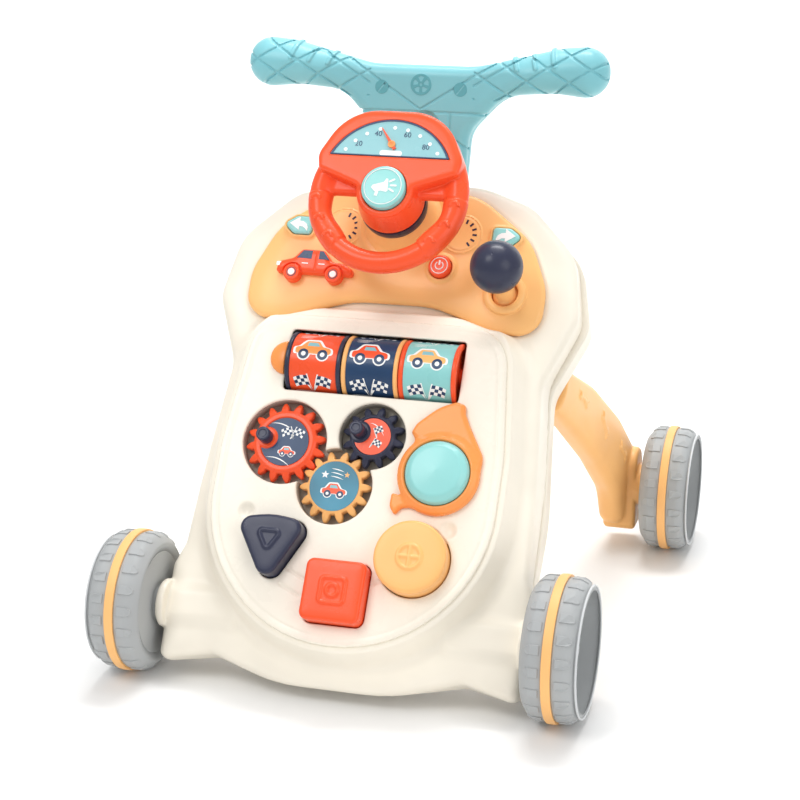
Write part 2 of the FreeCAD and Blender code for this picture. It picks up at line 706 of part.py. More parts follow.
# ---------------------------------------------------------------- console
def console_cover():
    """Console shell with raised bezels, lever ring, gauge discs and lever lugs."""
    shell = soften(prism(CONSOLE, FACE_N, CONSOLE_N), CONSOLE_EDGE_R, CONSOLE_N)
    shell = shell.cut(prism(grown(CONSOLE, -WALL), FACE_N - 1, CONSOLE_N - WALL))
    low = CONSOLE_N - 1
    for side in (-1, 1):
        spot = (side * TURN_UV[0], TURN_UV[1])
        size = (TURN_SIZE[0] + 2 * BEZEL_W, TURN_SIZE[1] + 2 * BEZEL_W)
        shell = shell.fuse(rounded_box(spot, size, 5.0, low, CONSOLE_N + BEZEL_H))
        hole = (TURN_SIZE[0] + 2 * SEAT_GAP, TURN_SIZE[1] + 2 * SEAT_GAP)
        shell = shell.cut(rounded_box(spot, hole, 4.0, FACE_N, CONSOLE_N + 9))
        gauge = disc((side * GAUGE_UV[0], GAUGE_UV[1]), GAUGE_R, low, CONSOLE_N + GAUGE_H)
        shell = shell.fuse(gauge.cut(disc(STEER_UV, COLUMN_R[0] + SEAT_GAP, 0, 99)))
    shell = shell.fuse(disc(START_UV, START_R + BEZEL_W, low, CONSOLE_N + BEZEL_H))
    shell = shell.cut(disc(START_UV, START_R + SEAT_GAP, FACE_N, CONSOLE_N + 9))
    shell = shell.fuse(disc(LEVER_UV, RING_OUT_R, low, CONSOLE_N + RING_H))
    shell = shell.cut(disc(LEVER_UV, RING_IN_R, FACE_N, CONSOLE_N + 9))
    for side in (-1, 1):
        middle = LEVER_UV[0] + side * (LEVER_PIN_LEN / 2 - LUG_T / 2)
        lug = box((middle, LEVER_UV[1]), (LUG_T, 9.0), FACE_N, CONSOLE_N - WALL)
        shell = shell.fuse(lug)
    pin = Part.makeCylinder(LEVER_PIN_R + RUN_GAP, LEVER_PIN_LEN + 2,
                            Vec(LEVER_UV[0] - LEVER_PIN_LEN / 2 - 1, LEVER_UV[1], LEVER_PIVOT_N),
                            Vec(1, 0, 0))
    return shell.cut(pin).removeSplitter()


def turn_button(side):
    """Turn-signal push button."""
    spot = (side * TURN_UV[0], TURN_UV[1])
    low = FACE_N + TURN_TRAVEL + 0.4
    return soften(rounded_box(spot, TURN_SIZE, 3.6, low, TURN_TOP_N), 1.2, TURN_TOP_N)


def start_button():
    """Round push button."""
    low = FACE_N + START_TRAVEL + 0.4
    return soften(disc(START_UV, START_R, low, START_TOP_N), 1.5, START_TOP_N)


def toy_car():
    """Car in relief on the console."""
    body = [(-32.0, -9.0, 2.0), (32.0, -9.0, 2.0), (31.0, 1.0, 3.0), (17.0, 4.0, 4.0),
            (9.0, 13.0, 3.0), (-13.0, 13.0, 3.0), (-22.0, 3.0, 4.0), (-31.0, 2.0, 3.0)]
    wire = rounded([(CAR_UV[0] + x, CAR_UV[1] + y, r) for x, y, r in body])
    car = prism(wire, CONSOLE_N, CONSOLE_N + CAR_H)
    car = soften(car, 1.2, CONSOLE_N + CAR_H)
    for x in (-18.0, 18.0):
        car = car.fuse(disc((CAR_UV[0] + x, CAR_UV[1] - 8.0), 7.0, CONSOLE_N,
                            CONSOLE_N + CAR_H + 1.0))
    return car.removeSplitter()


# ---------------------------------------------------------------- shift lever
def lean(piece):
    """The piece turned about the lever's cross pin to its stored position."""
    piece.rotate(Vec(LEVER_UV[0], LEVER_UV[1], LEVER_PIVOT_N), Vec(1, 0, 0), -LEVER_LEAN)
    return piece


def shift_stem():
    """Lever stem with its cross pin."""
    shoulder = KNOB_N - KNOB_R + 3
    profile = [(0, LEVER_FOOT_N), (LEVER_FOOT_R, LEVER_FOOT_N), (LEVER_FOOT_R, CONSOLE_N - 1),
               (STEM_LOW_R, CONSOLE_N - 0.5), (STEM_TOP_R + 1, shoulder), (STEM_TOP_R, shoulder),
               (STEM_TOP_R, KNOB_N), (0, KNOB_N)]
    points = [Vec(r, 0, n) for r, n in profile]
    face = Part.Face(Part.makePolygon(points + points[:1]))
    stem = face.revolve(Vec(0, 0, 0), Vec(0, 0, 1), 360)
    stem.translate(Vec(LEVER_UV[0], LEVER_UV[1], 0))
    pin = Part.makeCylinder(LEVER_PIN_R, LEVER_PIN_LEN,
                            Vec(LEVER_UV[0] - LEVER_PIN_LEN / 2, LEVER_UV[1], LEVER_PIVOT_N),
                            Vec(1, 0, 0))
    return lean(stem.fuse(pin))


def shift_knob():
    """Ball knob pressed on the stem."""
    ball = Part.makeSphere(KNOB_R, Vec(LEVER_UV[0], LEVER_UV[1], KNOB_N))
    ball = ball.cut(disc(LEVER_UV, STEM_TOP_R + 0.05, 0, KNOB_N))
    return lean(ball.cut(disc(LEVER_UV, STEM_LOW_R + 2, 0, KNOB_N - KNOB_R + 3)))


# ---------------------------------------------------------------- steering
def steering_column():
    """Hollow pedestal on the console."""
    outer = cone(STEER_UV, COLUMN_R[0], COLUMN_R[1], CONSOLE_N, COLUMN_TOP_N)
    inner = cone(STEER_UV, COLUMN_R[0] - WALL, COLUMN_R[1] - WALL, CONSOLE_N - 0.01,
                 COLUMN_TOP_N - WALL)
    return outer.cut(inner).cut(disc(STEER_UV, STEER_SHAFT_R + RUN_GAP, 0, COLUMN_TOP_N + 1))


def steering_collar():
    """Collar between the column and the steering wheel's hub."""
    ring = disc(STEER_UV, COLLAR_NAVY_R, COLUMN_TOP_N, HUB_BACK_N - STEER_PLAY)
    return ring.cut(disc(STEER_UV, STEER_SHAFT_R + RUN_GAP, 0, 99))


def dial_outline():
    """Half-moon outline of the dial."""
    v0 = STEER_UV[1] + DIAL_CHORD_V
    left = Vec(-DIAL_HALF, v0, 0)
    right = Vec(DIAL_HALF, v0, 0)
    arc = Part.Arc(right, Vec(0, v0 + DIAL_RISE, 0), left).toShape()
    return Part.Wire([Part.LineSegment(left, right).toShape(), arc])


def steering_wheel():
    """Rim, upper housing and hub in one moulding, with its shaft."""
    rim = Part.makeTorus(STEER_R - RIM_TUBE_R, RIM_TUBE_R, Vec(STEER_UV[0], STEER_UV[1], RIM_N))
    half = disc(STEER_UV, STEER_R - RIM_TUBE_R, RIM_N - 6, RIM_N + 6).common(
        Part.makeBox(200, 200, 100, Vec(-100, STEER_UV[1], 0)))
    arch = [(STEER_UV[0] + u, STEER_UV[1] + v, r) for u, v, r in mirrored(HOUSING_HALF)]
    housing = soften(prism(rounded(arch), *HOUSING_N), 2.5, HOUSING_N[1])
    hub = cone(STEER_UV, STEER_HUB_R[0], STEER_HUB_R[1], HUB_BACK_N, HUB_TOP_N)
    shaft = disc(STEER_UV, STEER_SHAFT_R, STEER_SHAFT_N, HUB_BACK_N + 2)
    wheel = rim.fuse([half, housing, hub, shaft])
    wheel = wheel.cut(disc(STEER_UV, HORN_CAP_R + SEAT_GAP, HORN_WELL_N, 200))
    seat = prism(grown(dial_outline(), 0.15), HOUSING_N[1] - DIAL_T, HOUSING_N[1] + 1)
    return wheel.cut(seat).removeSplitter()


def dial_needle():
    """Pointer on the dial."""
    pivot = (STEER_UV[0] + 1.0, STEER_UV[1] + DIAL_CHORD_V + 9.0)
    boss = disc(pivot, 3.0, HOUSING_N[1], HOUSING_N[1] + 1.5)
    arm = Part.makeBox(2.0, 17.0, 1.2, Vec(-1.0, 0, HOUSING_N[1]))
    arm.rotate(Vec(0, 0, 0), Vec(0, 0, 1), 25.0)
    arm.translate(Vec(pivot[0], pivot[1], 0))
    return boss.fuse(arm).removeSplitter()


def horn_cap():
    """Push button in the steering hub."""
    return soften(disc(STEER_UV, HORN_CAP_R, *HORN_CAP_N), 2.0, HORN_CAP_N[1])


def steering_clip():
    """Ring that keeps the steering shaft in the column."""
    low = STEER_SHAFT_N + 1
    return disc(STEER_UV, CLIP_R, low, low + CLIP_T).cut(
        disc(STEER_UV, STEER_SHAFT_R + PRESS_GAP, low - 1, low + CLIP_T + 1))


# ---------------------------------------------------------------- handle
def handle_solid(inset):
    """The T-shaped handle, drawn in its own frame, thinner all over by inset."""
    wire = rounded(mirrored(HANDLE_HALF))
    half = HANDLE_T / 2 - inset
    radius = HANDLE_EDGE_R - inset
    plate = prism(grown(wire, -inset), -half, half)
    plate = plate.makeFillet(radius, edges_at(plate, half) + edges_at(plate, -half))
    out = plate
    for side in (-1, 1):
        lo, hi = sorted((side * GRIP_FROM_X, side * (GRIP_END_X - inset)))
        grip = Part.makeCylinder(GRIP_R - inset, hi - lo, Vec(lo, 1.0, 0), Vec(1, 0, 0))
        ends = [e for e in grip.Edges if abs(e.BoundBox.XMax - e.BoundBox.XMin) < 1e-6
                and abs(e.BoundBox.XMax) > GRIP_FROM_X - 1]
        grip = grip.makeFillet((GRIP_R - inset) * 0.6, ends)
        out = out.fuse(grip)
    return out


def handle_halves():
    """Front and rear mouldings of the handle."""
    shell = handle_solid(0).cut(handle_solid(WALL))
    front = shell.common(Part.makeBox(400, 400, 100, Vec(-200, -300, 0)))
    rear = shell.common(Part.makeBox(400, 400, 100, Vec(-200, -300, -100)))
    return front, rear


# ---------------------------------------------------------------- legs
def leg(side):
    """One rear leg with its foot and axle bore, from the back cover to the rear wheel."""
    outline = rounded(LEG)
    blade = prism(outline, -LEG_T / 2, LEG_T / 2)
    blade = blade.makeFillet(LEG_EDGE_R, edges_at(blade, LEG_T / 2) + edges_at(blade, -LEG_T / 2))
    # the outline's x runs back along Y and its y runs up along Z
    blade.Placement = App.Placement(Vec(0, 0, 0), App.Rotation(Vec(0, 1, 0), Vec(0, 0, 1),
                                                               Vec(1, 0, 0)))
    blade.rotate(Vec(0, LEG_ROOT_Y, 0), Vec(0, 0, 1), -LEG_SPLAY)
    blade.translate(Vec(LEG_ROOT_X + LEG_T / 2, 0, 0))
    wheel_face = (REAR_TRACK - WHEEL_W) / 2
    foot_x0 = wheel_face - SIDE_PLAY - LEG_COLLAR_T - FOOT_T
    y0, y1 = REAR_Y - FOOT_LEN / 2, REAR_Y + FOOT_LEN / 2
    z0, z1 = FOOT_Z
    foot = prism(rounded([(y0, z0, FOOT_CORNER_R), (y1, z0, FOOT_CORNER_R),
                          (y1, z1, FOOT_LEN * 0.48), (y0, z1, FOOT_LEN * 0.48)]), 0, FOOT_T)
    foot.Placement = App.Placement(Vec(foot_x0, 0, 0),
                                   App.Rotation(Vec(0, 1, 0), Vec(0, 0, 1), Vec(1, 0, 0)))
    collar = rod_x(LEG_COLLAR_R, foot_x0 + 2, wheel_face - SIDE_PLAY, REAR_Y, AXLE_Z)
    shape = blade.fuse([foot, collar])
    behind = Part.makeBox(900, 900, 600, Vec(-450, -300, BACK_N - 600))
    behind.Placement = PANEL
    shape = shape.common(behind)
    shape = shape.cut(rod_x(AXLE_R + PRESS_GAP, 0, 300, REAR_Y, AXLE_Z))
    if side < 0:
        shape = shape.mirror(Vec(0, 0, 0), Vec(1, 0, 0))
    return shape


# ---------------------------------------------------------------- wheels
def ring_x(profile, y, z, x_at, side):
    """Turn a closed (axial, radius) outline about the axle; axial runs outward from x_at."""
    points = [Vec(side * a, 0, r) for a, r in profile]
    face = Part.Face(Part.makePolygon(points + points[:1]))
    solid = face.revolve(Vec(0, 0, 0), Vec(1, 0, 0), 360)
    solid.translate(Vec(side * x_at, y, z))
    if solid.Volume < 0:
        solid.reverse()
    return solid


def wheel(track, y, side):
    """Wheel moulding: crowned tyre, web and hub, open on its outer face."""
    face = (track - WHEEL_W) / 2
    mid = WHEEL_W / 2
    band = BAND_W / 2
    inner_r = TYRE_R - RIM_WALL
    profile = [
        (0, AXLE_R + RUN_GAP), (HUB_LEN, AXLE_R + RUN_GAP), (HUB_LEN, HUB_R - 2),
        (WEB_AT + WEB_T, HUB_R + 1), (WEB_AT + WEB_T, inner_r), (WHEEL_W, inner_r + 3),
        (WHEEL_W, TYRE_R - 5), (WHEEL_W - 3, TYRE_R - 1.6), (WHEEL_W - 9, TYRE_R), (mid + band, TYRE_R),
        (mid + band, BAND_R - BAND_DEPTH), (mid - band, BAND_R - BAND_DEPTH), (mid - band, TYRE_R),
        (9, TYRE_R), (3, TYRE_R - 1.6), (0, TYRE_R - 5), (0, inner_r + 3),
        (WEB_AT, inner_r), (WEB_AT, HUB_R + 1), (0, HUB_R - 2),
    ]
    return ring_x(profile, y, AXLE_Z, face, side)


def band(track, y, side):
    """Contrasting band in the tyre's middle groove."""
    face = (track - WHEEL_W) / 2
    lo = WHEEL_W / 2 - BAND_W / 2
    hi = WHEEL_W / 2 + BAND_W / 2
    low_r = BAND_R - BAND_DEPTH
    profile = [(lo, low_r), (hi, low_r), (hi, BAND_R - 0.4), (hi - 0.8, BAND_R),
               (lo + 0.8, BAND_R), (lo, BAND_R - 0.4)]
    return ring_x(profile, y, AXLE_Z, face, side)


def axle_end(track):
    """How far an axle rod reaches from the middle."""
    return (track - WHEEL_W) / 2 + HUB_LEN + SIDE_PLAY + CAP_LEN - CAP_SKIN


def axle(track, y):
    """Axle rod."""
    return rod_x(AXLE_R, -axle_end(track), axle_end(track), y, AXLE_Z)


def stub_axles(track, y):
    """Two short axle rods, each pressed into its own foot bracket."""
    root = (track - WHEEL_W) / 2 - SIDE_PLAY - LEG_COLLAR_T - FOOT_T + STUB_INSET
    left = rod_x(AXLE_R, -axle_end(track), -root, y, AXLE_Z)
    return Part.makeCompound([left, rod_x(AXLE_R, root, axle_end(track), y, AXLE_Z)])


def axle_caps():
    """Push-on caps at the four axle ends."""
    caps = []
    for track, y in ((FRONT_TRACK, FRONT_Y), (REAR_TRACK, REAR_Y)):
        for side in (-1, 1):
            end = axle_end(track)
            lo, hi = sorted((side * (end + CAP_SKIN - CAP_LEN), side * (end + CAP_SKIN)))
            cap = rod_x(CAP_R, lo, hi, y, AXLE_Z)
            bore_lo, bore_hi = sorted((side * (end - CAP_LEN - 1), side * end))
            caps.append(cap.cut(rod_x(AXLE_R + PRESS_GAP, bore_lo, bore_hi, y, AXLE_Z)))
    return Part.makeCompound(caps)


# ---------------------------------------------------------------- inside pieces
def battery_box():
    """Open battery tray on the inside of the back cover."""
    low = BACK_N + WALL
    outer = box(BATTERY_UV, BATTERY_SIZE, low, low + BATTERY_SIZE[2])
    size = (BATTERY_SIZE[0] - 4, BATTERY_SIZE[1] - 4)
    return outer.cut(box(BATTERY_UV, size, low - 1, low + BATTERY_SIZE[2] - 2))


def battery_door():
    """Door plate in the back cover's opening."""
    size = (BATTERY_SIZE[0] - 8.4, BATTERY_SIZE[1] - 8.4)
    return rounded_box(BATTERY_UV, size, 3.0, BACK_N, BACK_N + DOOR_T)


def speaker():
    """Loudspeaker on the inside of the back cover."""
    low = BACK_N + WALL
    flange = disc(SPEAKER_UV, SPEAKER_R, low, low + 3)
    basket = cone(SPEAKER_UV, SPEAKER_R - 2, 9.0, low + 3, low + 9)
    magnet = disc(SPEAKER_UV, 9.0, low + 9, low + 14)
    return flange.fuse([basket, magnet]).removeSplitter()


def circuit_board():
    """Circuit board behind the console."""
    return box(PCB_UV, BOARD_PCB, PCB_N, PCB_N + BOARD_PCB[2])


def screws():
    """Self-tapping screws that close the back cover."""
    pieces = []
    for spot in SCREWS_UV:
        top = PART_N
        shank = disc(spot, SCREW_R, top - SCREW_LEN, top)
        head = disc(spot, SCREW_HEAD_R, top - SCREW_LEN - 2, top - SCREW_LEN)
        pieces.append(shank.fuse(head).removeSplitter())
    return Part.makeCompound(pieces)


# ---------------------------------------------------------------- write every node
os.makedirs("parts", exist_ok=True)

save("front_shell", front_shell(), PANEL)
save("rear_cover", rear_cover(), PANEL)
save("activity_board", activity_board(), PANEL)
save("gear_tray", gear_tray(), PANEL)
save("gear_posts", gear_posts(), PANEL)
save("console_cover", console_cover(), PANEL)
save("toy_car", toy_car(), PANEL)
save("turn_button_left", turn_button(-1), PANEL)
save("turn_button_right", turn_button(1), PANEL)
save("start_button", start_button(), PANEL)
save("shift_stem", shift_stem(), PANEL)
save("shift_knob", shift_knob(), PANEL)
save("steering_column", steering_column(), PANEL)
save("steering_collar", steering_collar(), PANEL)
save("steering_wheel", steering_wheel(), PANEL)
save("dial_plate", prism(dial_outline(), HOUSING_N[1] - DIAL_T, HOUSING_N[1]), PANEL)
save("dial_needle", dial_needle(), PANEL)
save("horn_cap", horn_cap(), PANEL)
save("steering_clip", steering_clip(), PANEL)
save("horn_spring", coil(STEER_UV, *HORN_SPRING, HORN_WELL_N, HORN_CAP_N[0]), PANEL)
save("drum_shaft", drum_shaft(), PANEL)
for index, place in enumerate(("left", "middle", "right")):
    save("drum_" + place, drum(index), PANEL)
    save("drum_rims_" + place, drum_rims(index), PANEL)
save("roller_ear", roller_ear(), PANEL)
for colour in GEARS:
    save("gear_" + colour, gear(colour), PANEL)
for colour in CRANK_AT:
    save("crank_knob_" + colour, crank_knob(colour), PANEL)
save("horn_trim", horn_trim(), PANEL)
save("dome_button", dome_button(), PANEL)
save("dome_spring", coil(DOME_UV, *DOME_SPRING, WELL_FLOOR_N + WELL_FLOOR_T,
                         DOME_TOP_N - 2 * WALL), PANEL)
for name, wire in BLOCKS.items():
    save(name, block(wire), PANEL)
front_half, rear_half = handle_halves()
save("handle_front", front_half, HANDLE)
save("handle_rear", rear_half, HANDLE)
save("leg_left", leg(-1))
save("leg_right", leg(1))
save("front_axle", axle(FRONT_TRACK, FRONT_Y))
save("rear_axle", stub_axles(REAR_TRACK, REAR_Y))
save("axle_caps", axle_caps())
for name, track, y, side in (("front_left", FRONT_TRACK, FRONT_Y, -1),
                             ("front_right", FRONT_TRACK, FRONT_Y, 1),
                             ("rear_left", REAR_TRACK, REAR_Y, -1),
                             ("rear_right", REAR_TRACK, REAR_Y, 1)):
    save("wheel_" + name, wheel(track, y, side))
    save("band_" + name, band(track, y, side))
save("battery_box", battery_box(), PANEL)
save("battery_door", battery_door(), PANEL)
save("speaker", speaker(), PANEL)
save("circuit_board", circuit_board(), PANEL)
save("screws", screws(), PANEL)
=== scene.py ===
"""Looks of the baby push walker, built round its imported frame.

Pieces are drawn in millimetres in a space of their own (the sloping panel's, the handle's or
the row frame's) and are placed in metres by that space's matrix. Their places come from the
frame's nodes. Soft mouldings are surfaces of distance fields; round pieces are turned.
"""
import math

import bmesh
import bpy
import numpy as np
import openvdb
from mathutils import Matrix, Vector


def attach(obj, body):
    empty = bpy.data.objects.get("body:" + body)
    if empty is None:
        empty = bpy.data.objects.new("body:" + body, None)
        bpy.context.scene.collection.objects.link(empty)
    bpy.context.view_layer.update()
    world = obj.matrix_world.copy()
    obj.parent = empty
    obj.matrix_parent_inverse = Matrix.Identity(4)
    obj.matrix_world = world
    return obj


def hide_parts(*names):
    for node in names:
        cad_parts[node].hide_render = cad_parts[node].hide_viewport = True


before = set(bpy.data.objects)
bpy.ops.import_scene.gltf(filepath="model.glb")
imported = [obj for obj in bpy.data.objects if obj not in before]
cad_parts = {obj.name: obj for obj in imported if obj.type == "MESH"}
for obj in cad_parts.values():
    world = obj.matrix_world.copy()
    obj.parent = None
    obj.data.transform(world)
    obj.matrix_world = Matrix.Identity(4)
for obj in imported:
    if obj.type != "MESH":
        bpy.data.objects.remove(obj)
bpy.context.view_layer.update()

# ---------------------------------------------------------------- spaces
MM = 0.001
PANEL_TILT = math.radians(55.0)
HANDLE_TILT = math.radians(80.0)


def space(origin, tilt=0.0):
    """Matrix from millimetres in a tilted space to metres in the row frame."""
    return (Matrix.Translation(Vector(origin) * MM) @ Matrix.Rotation(tilt, 4, "X")
            @ Matrix.Scale(MM, 4))


PANEL = space((0.0, -199.5, 27.5), PANEL_TILT)
HANDLE = space((0.0, 64.0, 444.0), HANDLE_TILT)
ROW = space((0.0, 0.0, 0.0))


def vertices(node, within_space=PANEL):
    """A node's vertices along a space's axes, in millimetres."""
    back = np.array(within_space.inverted())
    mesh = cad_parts[node].data
    points = np.empty(len(mesh.vertices) * 3)
    mesh.vertices.foreach_get("co", points)
    return points.reshape(-1, 3) @ back[:3, :3].T + back[:3, 3]


def extent(node, within_space=PANEL):
    """Lowest and highest corners of a node along a space's axes."""
    points = vertices(node, within_space)
    return points.min(0), points.max(0)


def middle(node, within_space=PANEL):
    """Centre of a node along the first two axes of a space."""
    low, high = extent(node, within_space)
    return (low[0] + high[0]) / 2, (low[1] + high[1]) / 2


# ---------------------------------------------------------------- levels shared by pieces
FACE_N = 5.0                 # the shell's flat face
PART_N = -22.0               # where the two shells meet
BACK_N = extent("rear_cover")[0][2]
PLATEAU_N = 27.0
BOARD_N = 30.0
CONSOLE_N = 14.0
WALL = 2.5
GAP = 0.4
FLOOR_GAP = 12.0
AXLE_BORE_R = 4.2
CUP_R = 25.4                 # bore round the dome button

BODY_HALF = [
    (38.0, -19.5, 90.0), (100.0, 0.0, 6.0), (143.0, -10.0, 7.0), (145.5, 66.0, 14.0),
    (138.5, 84.0, 20.0), (136.0, 135.0, 200.0), (127.5, 236.0, 34.0), (149.5, 292.0, 30.0),
    (140.0, 345.0, 45.0), (100.0, 385.0, 40.0), (58.0, 400.0, 60.0)]
COVER_FLARE = {5: 140.5, 6: 131.5, 7: 155.0, 8: 143.0}
CONSOLE_HALF = [(35.0, 292.0, 70.0), (86.0, 272.5, 30.0), (121.5, 274.0, 20.0),
                (122.5, 312.0, 45.0), (105.0, 352.0, 50.0), (56.0, 389.0, 50.0)]
BOARD_HALF = [(46.8, 11.5, 112.4), (113.0, 77.7, 112.4), (113.0, 166.5, 120.0),
              (101.0, 273.0, 36.0)]
HANDLE_SOFT_HALF = [(36.0, -126.0, 4.0), (40.0, -50.0, 25.0), (68.0, -20.0, 34.0),
                    (108.0, -17.0, 60.0), (151.5, -21.5, 20.5), (151.5, 22.5, 20.5),
                    (112.0, 19.0, 60.0), (45.0, 2.0, 70.0)]
LEG = [(-45.0, 240.0, 10.0), (75.0, 180.0, 120.0), (150.0, 130.0, 80.0), (207.0, 80.0, 26.0),
       (199.0, 26.0, 20.0), (160.0, 20.0, 15.0), (145.0, 58.0, 50.0), (90.0, 106.0, 100.0),
       (20.0, 157.0, 100.0), (-45.0, 200.0, 10.0)]

# ---------------------------------------------------------------- colours
CREAM = (0.890, 0.830, 0.715)
ORANGE = (0.975, 0.530, 0.200)
YELLOW = (0.975, 0.500, 0.175)
HORN_ORANGE = (0.970, 0.330, 0.085)
RED = (0.930, 0.098, 0.028)
NAVY = (0.034, 0.038, 0.070)
TEAL = (0.300, 0.660, 0.640)
HANDLE_BLUE = (0.225, 0.560, 0.620)
DIAL_BLUE = (0.250, 0.520, 0.560)
DRUM_BLUE = (0.270, 0.610, 0.600)
TYRE = (0.410, 0.425, 0.430)
POCKET = (0.440, 0.400, 0.340)
WHITE = (0.900, 0.900, 0.880)
DARK_TEAL = (0.060, 0.230, 0.250)
STICKER_NAVY = (0.018, 0.050, 0.120)
STICKER_BLUE = (0.050, 0.270, 0.400)


# ---------------------------------------------------------------- materials
COAT_ROUGHNESS, SPECULAR = 0.12, 0.26
TONE_SCALE, SMUDGE_SCALE, GRAIN_SCALE = 14.0, 60.0, 1400.0     # noise cells per metre
GRAIN_DEPTH = 0.0002


def plastic(name, colour, rough=0.28, grain=0.02, coat=0.08, metallic=0.0, drift=0.05):
    """Moulded plastic: slight colour drift, uneven gloss and a fine moulded grain."""
    made = bpy.data.materials.new(name)
    made.use_nodes = True
    nodes, links = made.node_tree.nodes, made.node_tree.links
    shader = nodes["Principled BSDF"]
    shader.inputs["Coat Weight"].default_value = coat
    shader.inputs["Coat Roughness"].default_value = COAT_ROUGHNESS
    shader.inputs["Specular IOR Level"].default_value = SPECULAR
    shader.inputs["Metallic"].default_value = metallic
    place = nodes.new("ShaderNodeTexCoord")

    def noise(scale, detail):
        made_noise = nodes.new("ShaderNodeTexNoise")
        made_noise.inputs["Scale"].default_value = scale
        made_noise.inputs["Detail"].default_value = detail
        links.new(place.outputs["Object"], made_noise.inputs["Vector"])
        return made_noise

    broad = noise(TONE_SCALE, 3.0)
    tone = nodes.new("ShaderNodeValToRGB")
    tone.color_ramp.elements[0].position = 0.3
    tone.color_ramp.elements[1].position = 0.7
    tone.color_ramp.elements[0].color = [c * (1 - drift) for c in colour] + [1]
    tone.color_ramp.elements[1].color = [min(1.0, c * (1 + drift)) for c in colour] + [1]
    links.new(broad.outputs["Fac"], tone.inputs["Fac"])
    links.new(tone.outputs["Color"], shader.inputs["Base Color"])
    smudge = noise(SMUDGE_SCALE, 4.0)
    spread = nodes.new("ShaderNodeMapRange")
    spread.inputs["To Min"].default_value = rough - 0.06
    spread.inputs["To Max"].default_value = rough + 0.10
    links.new(smudge.outputs["Fac"], spread.inputs["Value"])
    links.new(spread.outputs["Result"], shader.inputs["Roughness"])
    fine = noise(GRAIN_SCALE, 2.0)
    bump = nodes.new("ShaderNodeBump")
    bump.inputs["Strength"].default_value = grain * 4
    bump.inputs["Distance"].default_value = GRAIN_DEPTH
    links.new(fine.outputs["Fac"], bump.inputs["Height"])
    links.new(bump.outputs["Normal"], shader.inputs["Normal"])
    return made


LOOKS = {
    "cream": plastic("moulded_cream", CREAM, 0.30, 0.02),
    "board": plastic("moulded_board", CREAM, 0.26, 0.02),
    "console": plastic("moulded_console", ORANGE, 0.30, 0.02),
    "leg": plastic("moulded_leg", ORANGE, 0.36, 0.03),
    "band": plastic("wheel_band", ORANGE, 0.42, 0.04, 0.0),
    "yellow": plastic("moulded_yellow", YELLOW, 0.30, 0.02),
    "horn": plastic("moulded_horn", HORN_ORANGE, 0.26, 0.02),
    "red": plastic("moulded_red", RED, 0.27, 0.02),
    "navy": plastic("moulded_navy", NAVY, 0.28, 0.02),
    "teal": plastic("moulded_teal", TEAL, 0.22, 0.01, 0.10),
    "handle": plastic("moulded_handle", HANDLE_BLUE, 0.32, 0.03),
    "dial": plastic("dial_print", DIAL_BLUE, 0.26, 0.01, 0.12),
    "drum": plastic("moulded_drum", DRUM_BLUE, 0.26, 0.01, 0.10),
    "tyre": plastic("tyre_rubber", TYRE, 0.46, 0.08, 0.0),
    "pocket": plastic("pocket_grey", POCKET, 0.45, 0.04, 0.0),
    "white": plastic("print_white", WHITE, 0.30, 0.01),
    "emblem": plastic("emblem_teal", (0.120, 0.400, 0.450), 0.34, 0.02),
    "tyre_pale": plastic("rim_pale", (0.640, 0.660, 0.670), 0.36, 0.03, 0.0),
    "dark_teal": plastic("recess_teal", DARK_TEAL, 0.35, 0.03),
    "sticker_navy": plastic("sticker_navy", STICKER_NAVY, 0.28, 0.01, 0.10, drift=0.25),
    "sticker_blue": plastic("sticker_blue", STICKER_BLUE, 0.28, 0.01, 0.10, drift=0.35),
    "steel": plastic("turned_steel", (0.55, 0.55, 0.56), 0.28, 0.03, 0.0, metallic=1.0),
    "board_green": plastic("circuit_green", (0.02, 0.16, 0.06), 0.4, 0.05, drift=0.3),
}


# ---------------------------------------------------------------- outlines
def outline(corners):
    """Points round a closed outline whose corners (x, y, radius) are arcs."""
    count = len(corners)
    spots = np.array([c[:2] for c in corners], float)
    ahead = np.roll(spots, -1, 0) - spots
    lengths = np.hypot(ahead[:, 0], ahead[:, 1])
    ahead = ahead / lengths[:, None]
    back = -np.roll(ahead, 1, 0)
    half = np.arccos(np.clip((ahead * back).sum(1), -1, 1)) / 2
    reach = np.array([c[2] for c in corners]) / np.tan(half)
    for _ in range(3):
        share = np.minimum(1.0, 0.98 * lengths / (reach + np.roll(reach, -1)))
        reach = reach * np.minimum(share, np.roll(share, 1))
    points = []
    for i in range(count):
        if reach[i] < 1e-6:
            points.append(spots[i])
            continue
        radius = reach[i] * math.tan(half[i])
        bisector = (back[i] + ahead[i]) / np.hypot(*(back[i] + ahead[i]))
        centre = spots[i] + bisector * radius / math.sin(half[i])
        start = spots[i] + back[i] * reach[i] - centre
        end = spots[i] + ahead[i] * reach[i] - centre
        steps = max(2, int(math.degrees(math.pi - 2 * half[i]) / 6))
        turn = math.atan2(start[0] * end[1] - start[1] * end[0], start @ end)
        first = math.atan2(start[1], start[0])
        for k in range(steps + 1):
            angle = first + turn * k / steps
            points.append(centre + radius * np.array([math.cos(angle), math.sin(angle)]))
    return np.array(points)


def mirrored(half):
    """Full outline from its right half."""
    return half + [(-x, y, r) for x, y, r in reversed(half)]


def round_box(centre, size, radius):
    """Outline of a box with round corners."""
    return outline([(centre[0] + a * size[0] / 2, centre[1] + b * size[1] / 2, radius)
                    for a, b in ((-1, -1), (1, -1), (1, 1), (-1, 1))])


def circle(centre, radius, count=48, start=0.0, turn=2 * math.pi):
    """Points round a circle or part of one."""
    angles = start + turn * np.arange(count) / (count if turn == 2 * math.pi else count - 1)
    return np.stack([centre[0] + radius * np.cos(angles),
                     centre[1] + radius * np.sin(angles)], 1)


